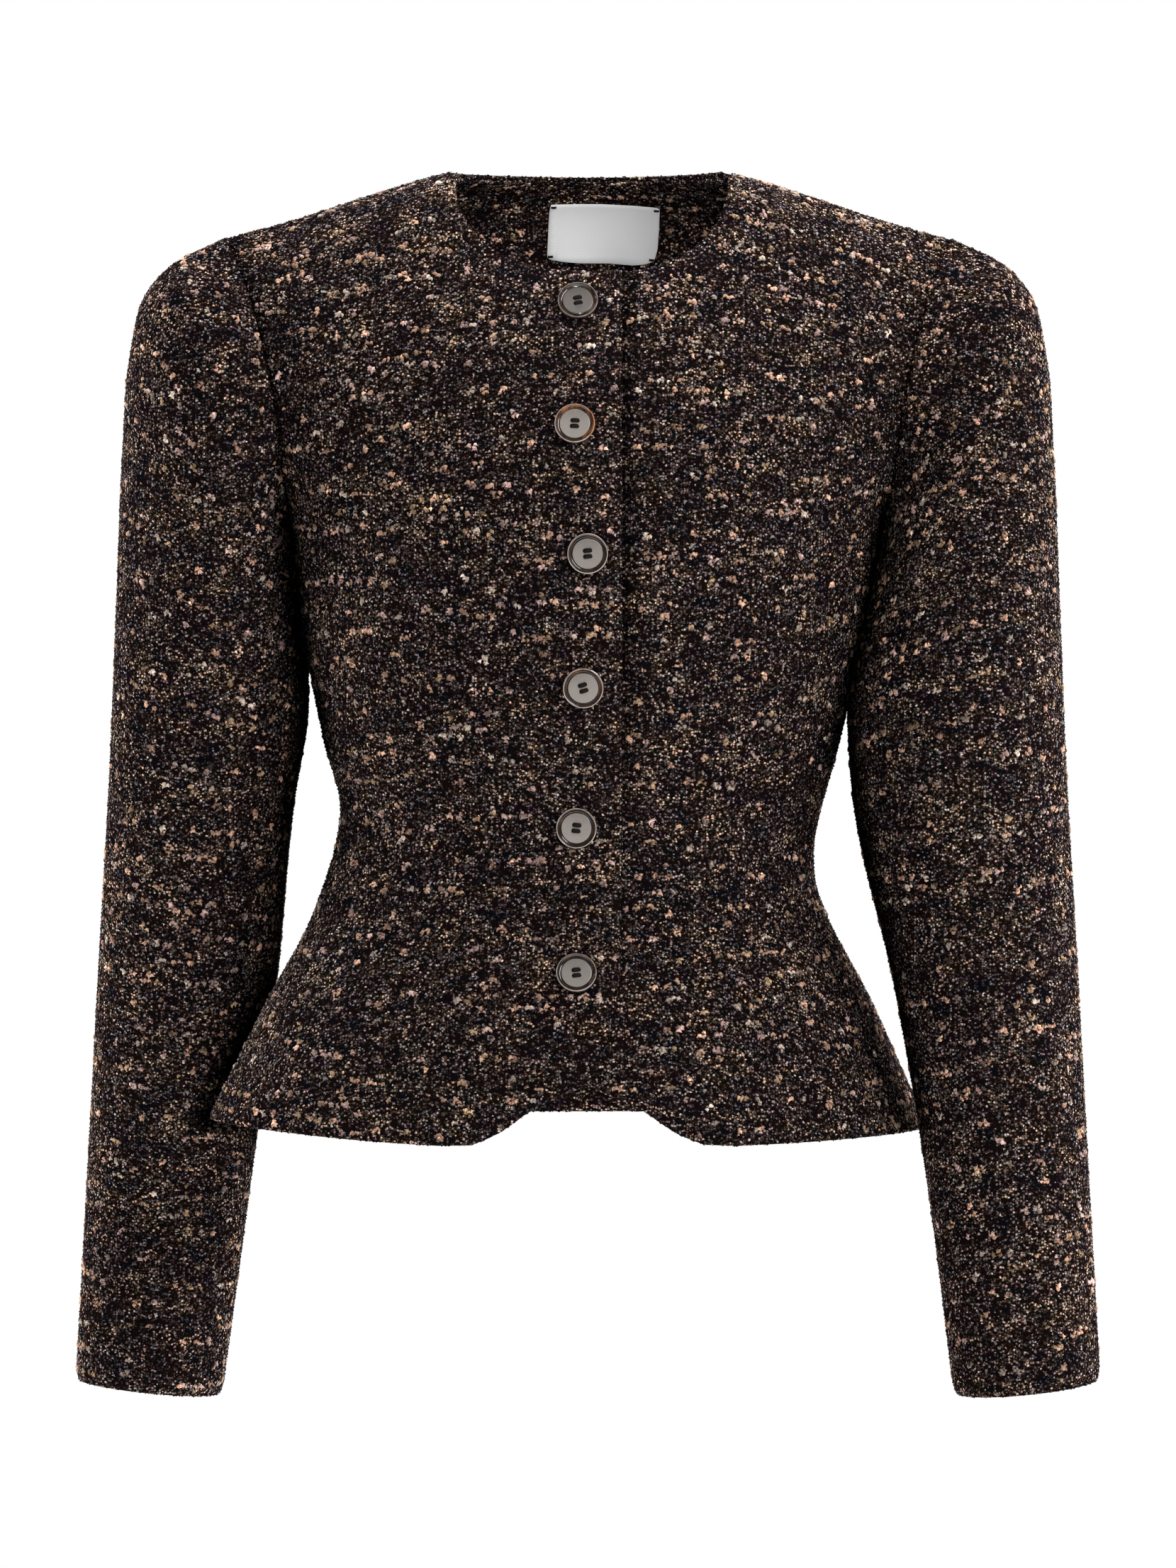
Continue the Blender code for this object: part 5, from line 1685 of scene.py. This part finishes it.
class StudioSettings(bpy.types.PropertyGroup):
    """Light, floor and camera."""

    key: power_property("Key", "Power of the large front light", 104.0)
    side: power_property("Sides", "Power that the side and top lights share", 44.0)
    neck: power_property("Neck", "Power of the narrow light on the neck", 240.0)
    sky: FloatProperty(name="Surround", description="Strength of the white surround as a light", default=0.19,
                       min=0.0, max=2.0)
    floor_drop: FloatProperty(name="Floor", description="Depth of the floor under the shoulders",
                              default=1.35, min=0.7, unit="LENGTH")
    floor: colour_property("Floor colour", "Pale floor", (0.86, 0.86, 0.86))
    lens: FloatProperty(name="Lens", description="Focal length", default=131.17, min=20.0, unit="CAMERA")


class JacketSettings(bpy.types.PropertyGroup):
    """All settings of the jacket."""

    cloth: PointerProperty(type=ClothSizes, name="Cloth", description="Cloth sizes")
    yarn: PointerProperty(type=YarnColours, name="Yarn", description="Yarn colours")
    trim: PointerProperty(type=TrimColours, name="Trim", description="Trim colours")
    studio: PointerProperty(type=StudioSettings, name="Studio", description="Light, floor and camera")


def panel_cut(outline):
    """Width and length in metres of the cloth that a panel is cut from."""
    low = outline.min(axis=0)
    high = outline.max(axis=0)
    across = np.linspace(low[0], high[0], FINE)
    along = np.linspace(low[1], high[1], FINE)
    middle = np.full(FINE, 0.5 * (low[0] + high[0]))
    width = max(chord_knots(TORSO.points(across, np.full(FINE, w)))[-1]
                for w in np.linspace(low[1], high[1], CUT_LEVELS))
    length = chord_knots(TORSO.points(middle, along))[-1]
    return width * MM, length * MM


def make_torso_piece(settings, node, cloth, outline, keep, face, shade):
    """A boucle panel with its yarn on the outer face (1) or the inner one (-1), in place of a node."""
    sizes = settings.cloth
    seed = sizes.seed + SEEDS[node]
    piece, points, dark, rim, free, area = torso_piece(node, cloth, outline(sizes.mesh / MM), sizes.mesh / MM)
    rng = np.random.default_rng(seed)
    edge = edge_spots(rim, free, cloth.cloth, rng)
    field = TorsoField(cloth, outline(FIELD_SPACING), face)
    yarns = yarn_on(node, field, edge, keep, seed, settings, shade)
    cut = panel_cut(outline(FIELD_SPACING))
    dress(piece, yarns, dark * shade(points), settings)


class JACKET_OT_fronts(bpy.types.Operator):
    """Make both fronts, the wearer's right over the left"""

    bl_idname = "jacket.fronts"
    bl_label = "Fronts"

    def execute(self, context):
        settings = context.scene.jacket
        wall = settings.cloth.wall / MM
        crease = settings.cloth.crease
        make_torso_piece(settings, "front_right", TorsoCloth(wall, crease),
                         lambda spacing: front_outline(-1, spacing), clear_of_buttons, 1,
                         body_shade)
        under = TorsoCloth(wall, crease, lift=lambda p, w: under_front(p, w) * (wall + UNDER_LAY))
        make_torso_piece(settings, "front_left", under,
                         lambda spacing: front_outline(1, spacing), beyond_overlap, 1,
                         left_shade)
        return {"FINISHED"}


class JACKET_OT_back(bpy.types.Operator):
    """Make the back, cut in one"""

    bl_idname = "jacket.back"
    bl_label = "Back"

    def execute(self, context):
        settings = context.scene.jacket
        cloth = TorsoCloth(settings.cloth.wall / MM, settings.cloth.crease)
        make_torso_piece(settings, "back", cloth, back_outline, everywhere, 1,
                         body_shade)
        return {"FINISHED"}


class JACKET_OT_neck_facing(bpy.types.Operator):
    """Make the facing inside the back neck"""

    bl_idname = "jacket.neck_facing"
    bl_label = "Neck facing"

    def execute(self, context):
        settings = context.scene.jacket
        cloth = TorsoCloth(FACING_CLOTH, settings.cloth.crease, lay=-(settings.cloth.wall / MM + LAY))
        make_torso_piece(settings, "back_neck_facing", cloth, facing_outline, clear_of_label, -1,
                         plain_shade)
        return {"FINISHED"}


class JACKET_OT_sleeves(bpy.types.Operator):
    """Make both set-in sleeves"""

    bl_idname = "jacket.sleeves"
    bl_label = "Sleeves"

    def execute(self, context):
        settings = context.scene.jacket
        for side, hand in HANDS.items():
            self.sleeve(settings, side, "sleeve_" + hand, "front_" + hand)
        return {"FINISHED"}

    @staticmethod
    def sleeve(settings, side, node, front):
        """One sleeve with its yarn, in place of its node."""
        sizes = settings.cloth
        cloth = SleeveCloth(side, sizes.mesh / MM, sizes.wall / MM, sizes.crease)
        faces = cloth.faces()
        outer = cloth.outer.reshape(-1, 3)
        inner = cloth.inner.reshape(-1, 3)
        row = np.arange(len(outer)) // SLEEVE_AROUND
        at_cuff = row == len(cloth.stops) - 1
        points, walls, starts, rim = closed_wall(outer, inner, faces, at_cuff * RIM_BULGE * cloth.cloth)
        piece = wall_object(node + "_cloth", points, walls)
        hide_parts(node)
        seed = sizes.seed + SEEDS[node]
        edge = edge_spots(rim, at_cuff[starts], cloth.cloth, np.random.default_rng(seed))
        field = SleeveField(cloth)
        yarns = yarn_on(node, field, edge, everywhere, seed, settings, sleeve_shade)
        shade = np.where(row <= SEAM_ROWS, np.interp(outer[:, 2], *SEAM_SHADE), 1.0)
        shade = np.concatenate([shade, shade, shade[starts]]) * sleeve_shade(points)
        dress(piece, yarns, shade, settings)


class JACKET_OT_label(bpy.types.Operator):
    """Make the bare neck label and its corner tacks"""

    bl_idname = "jacket.label"
    bl_label = "Label"

    def execute(self, context):
        settings = context.scene.jacket
        lay = -(settings.cloth.wall / MM + LAY + FACING_CLOTH + LAY)
        cloth = TorsoCloth(LABEL_CLOTH, 0.0, lay=lay, lift=label_lift)
        outline = label_outline(cloth)
        piece = torso_piece("label", cloth, outline, LABEL_MESH)[0]
        settle(piece, label_material(settings))
        tacks = tubes("label_tacks", self.tacks(cloth), TACK_RADIUS)
        settle(tacks, thread_material(settings))
        return {"FINISHED"}

    @staticmethod
    def tacks(cloth):
        """Two strands at each corner, from just past the side edge in over the label."""
        runs = []
        for x, z, way in LABEL_TACKS:
            ends = [(x - way * TACK_PAST, z), (x + way * TACK_LENGTH, z + TACK_SLOPE)]
            ends = seen_places(ends, cloth)
            spots = cloth.both_faces(ends[:, 0], ends[:, 1])[1]
            out = -cloth.normals(ends[:, 0], ends[:, 1])[0]
            up = unit(np.cross(out, spots[1] - spots[0]))
            for k in (-1, 1):
                shift = up * k * TACK_APART
                runs.append(arch(spots[0] + shift, spots[1] + TACK_SPREAD * shift, out, TACK_RISE))
        return runs


class JACKET_OT_buttons(bpy.types.Operator):
    """Make the six sewn-on buttons"""

    bl_idname = "jacket.buttons"
    bl_label = "Buttons"

    def execute(self, context):
        settings = context.scene.jacket
        model = model_button()
        for number, place in enumerate(button_places(), start=1):
            facing = Vector(place["out"]).to_track_quat("Z", "Y").to_matrix().to_4x4()
            spin = Matrix.Rotation(math.radians(place["spin"]), 4, "Z")
            turned_to = Matrix.Translation(Vector(place["spot"]) * MM) @ facing @ spin
            self.button(settings, model, f"button_{number}", turned_to, place)
        bpy.data.objects.remove(model)
        return {"FINISHED"}

    @staticmethod
    def button(settings, model, node, turned_to, place):
        """One button in place of its node, with its thread."""
        mesh = model.data.copy()
        on_disc = [face.center.xy.length < BUTTON_FACE * MM and face.center.z > BUTTON_FACE_LOW * MM
                   for face in mesh.polygons]
        for look in ("amber", "tone"):
            own = mesh.attributes.new(look, "FLOAT", "POINT")
            own.data.foreach_set("value", np.full(len(mesh.vertices), place[look], np.float32))
        mesh.transform(turned_to)
        piece = bpy.data.objects.new(node + "_horn", mesh)
        bpy.context.scene.collection.objects.link(piece)
        settle(piece, horn_rim(settings))
        mesh.materials.append(horn_disc(settings))
        mesh.polygons.foreach_set("material_index", np.array(on_disc, np.int32))
        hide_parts(node)
        runs = []
        climb = 2 * HOLE_OFFSET * math.tan(math.radians(THREAD_TILT))
        for hole in (-HOLE_OFFSET, HOLE_OFFSET):
            for k in (-1, 0, 1):
                y = hole + THREAD_RADIUS * k
                start = np.array((-HOLE_OFFSET - THREAD_PAST, y, THREAD_START))
                end = np.array((HOLE_OFFSET + THREAD_PAST, y + climb, THREAD_START))
                rise = THREAD_RISE + THREAD_MIDDLE * (k == 0)
                runs.append(arch(start, end, np.array((0.0, 0.0, 1.0)), rise))
        thread = tubes(node + "_thread", runs, THREAD_RADIUS)
        thread.data.transform(turned_to)
        settle(thread, thread_material(settings))


class JACKET_OT_studio(bpy.types.Operator):
    """Set up the pale floor, the soft lights and the camera"""

    bl_idname = "jacket.studio"
    bl_label = "Studio"

    def execute(self, context):
        studio = context.scene.jacket.studio
        bpy.ops.object.select_all(action="DESELECT")
        bpy.ops.mesh.primitive_circle_add(vertices=FLOOR_SIDES, radius=FLOOR_RADIUS, fill_type="NGON",
                                          location=(0, 0, -studio.floor_drop))
        floor = context.object
        floor.name = "studio_floor"
        floor.data.materials.append(self.floor_material(studio))
        for name, spot, size, setting, share in LIGHTS:
            made = self.lamp(context, name, "AREA", spot, LIGHT_AIM, share * getattr(studio, setting))
            made.data.size = size
            made.visible_glossy = name != NOT_MIRRORED
        neck = self.lamp(context, "neck_light", "SPOT", NECK_LIGHT_SPOT, NECK_LIGHT_AIM, studio.neck)
        neck.data.spot_size = math.radians(NECK_LIGHT_ANGLE)
        neck.data.spot_blend = NECK_LIGHT_BLEND
        neck.data.shadow_soft_size = NECK_LIGHT_SIZE
        self.camera(context, studio)
        self.surround(context, studio)
        context.scene.view_settings.view_transform = "Standard"
        return {"FINISHED"}

    @staticmethod
    def floor_material(studio):
        """Pale floor with a faint unevenness."""
        shader = Shader("studio_floor")
        cloud = shader.noise(shader.places(), 2.0, 2.0)
        colour = shader.mix(cloud, studio.floor, scaled(studio.floor, 0.96))
        return shader.finish(Base_Color=colour, Roughness=0.8)

    @staticmethod
    def lamp(context, name, kind, spot, aim, power):
        """A light at a spot, aimed at another."""
        made = bpy.data.objects.new(name, bpy.data.lights.new(name, kind))
        made.data.energy = power
        made.location = spot
        made.rotation_euler = (Vector(aim) - Vector(spot)).to_track_quat("-Z", "Y").to_euler()
        context.scene.collection.objects.link(made)
        return made

    @staticmethod
    def camera(context, studio):
        """A camera straight in front, as far away as the tables' view."""
        lens = bpy.data.cameras.new("front_camera")
        lens.sensor_fit = "AUTO"
        lens.sensor_width = 36.0
        lens.lens = studio.lens
        made = bpy.data.objects.new("front_camera", lens)
        made.location = (0.0, -VIEW_DISTANCE * MM, VIEW_HEIGHT * MM)
        made.rotation_euler = (math.radians(90), 0.0, 0.0)
        context.scene.collection.objects.link(made)
        context.scene.camera = made

    @staticmethod
    def surround(context, studio):
        """A white surround that lights the jacket softly."""
        world = bpy.data.worlds.new("studio_surround")
        world.use_nodes = True
        tree = world.node_tree
        shown = tree.nodes["Background"]
        light = tree.nodes.new("ShaderNodeBackground")
        for background, strength in ((shown, 1.0), (light, studio.sky)):
            background.inputs["Color"].default_value = (1, 1, 1, 1)
            background.inputs["Strength"].default_value = strength
        mix = tree.nodes.new("ShaderNodeMixShader")
        ray = tree.nodes.new("ShaderNodeLightPath")
        tree.links.new(ray.outputs["Is Camera Ray"], mix.inputs[0])
        tree.links.new(light.outputs[0], mix.inputs[1])
        tree.links.new(shown.outputs[0], mix.inputs[2])
        tree.links.new(mix.outputs[0], tree.nodes["World Output"].inputs["Surface"])
        context.scene.world = world


class JACKET_PT_sidebar(bpy.types.Panel):
    """Settings and steps of the jacket"""

    bl_idname = "JACKET_PT_sidebar"
    bl_label = "Boucle Jacket"
    bl_space_type = "VIEW_3D"
    bl_region_type = "UI"
    bl_category = "Jacket"

    def draw(self, context):
        settings = context.scene.jacket
        for group in (settings.cloth, settings.yarn, settings.trim, settings.studio):
            box = self.layout.box()
            for name in group.__annotations__:
                box.prop(group, name)
        for step in STEPS:
            self.layout.operator(step.bl_idname)


STEPS = (JACKET_OT_fronts, JACKET_OT_back, JACKET_OT_neck_facing, JACKET_OT_sleeves, JACKET_OT_label,
         JACKET_OT_buttons, JACKET_OT_studio)
CLASSES = (ClothSizes, YarnColours, TrimColours, StudioSettings, JacketSettings, *STEPS, JACKET_PT_sidebar)


def register():
    """Add the jacket's classes and settings to Blender."""
    for each in CLASSES:
        bpy.utils.register_class(each)
    bpy.types.Scene.jacket = PointerProperty(type=JacketSettings, name="Jacket",
                                             description="Jacket settings")


def unregister():
    """Take the jacket's classes and settings out of Blender."""
    del bpy.types.Scene.jacket
    for each in reversed(CLASSES):
        bpy.utils.unregister_class(each)


def main():
    """Make every piece and the studio."""
    register()
    bpy.ops.jacket.fronts()
    bpy.ops.jacket.back()
    bpy.ops.jacket.neck_facing()
    bpy.ops.jacket.sleeves()
    bpy.ops.jacket.label()
    bpy.ops.jacket.buttons()
    bpy.ops.jacket.studio()


if __name__ == "__main__":
    main()
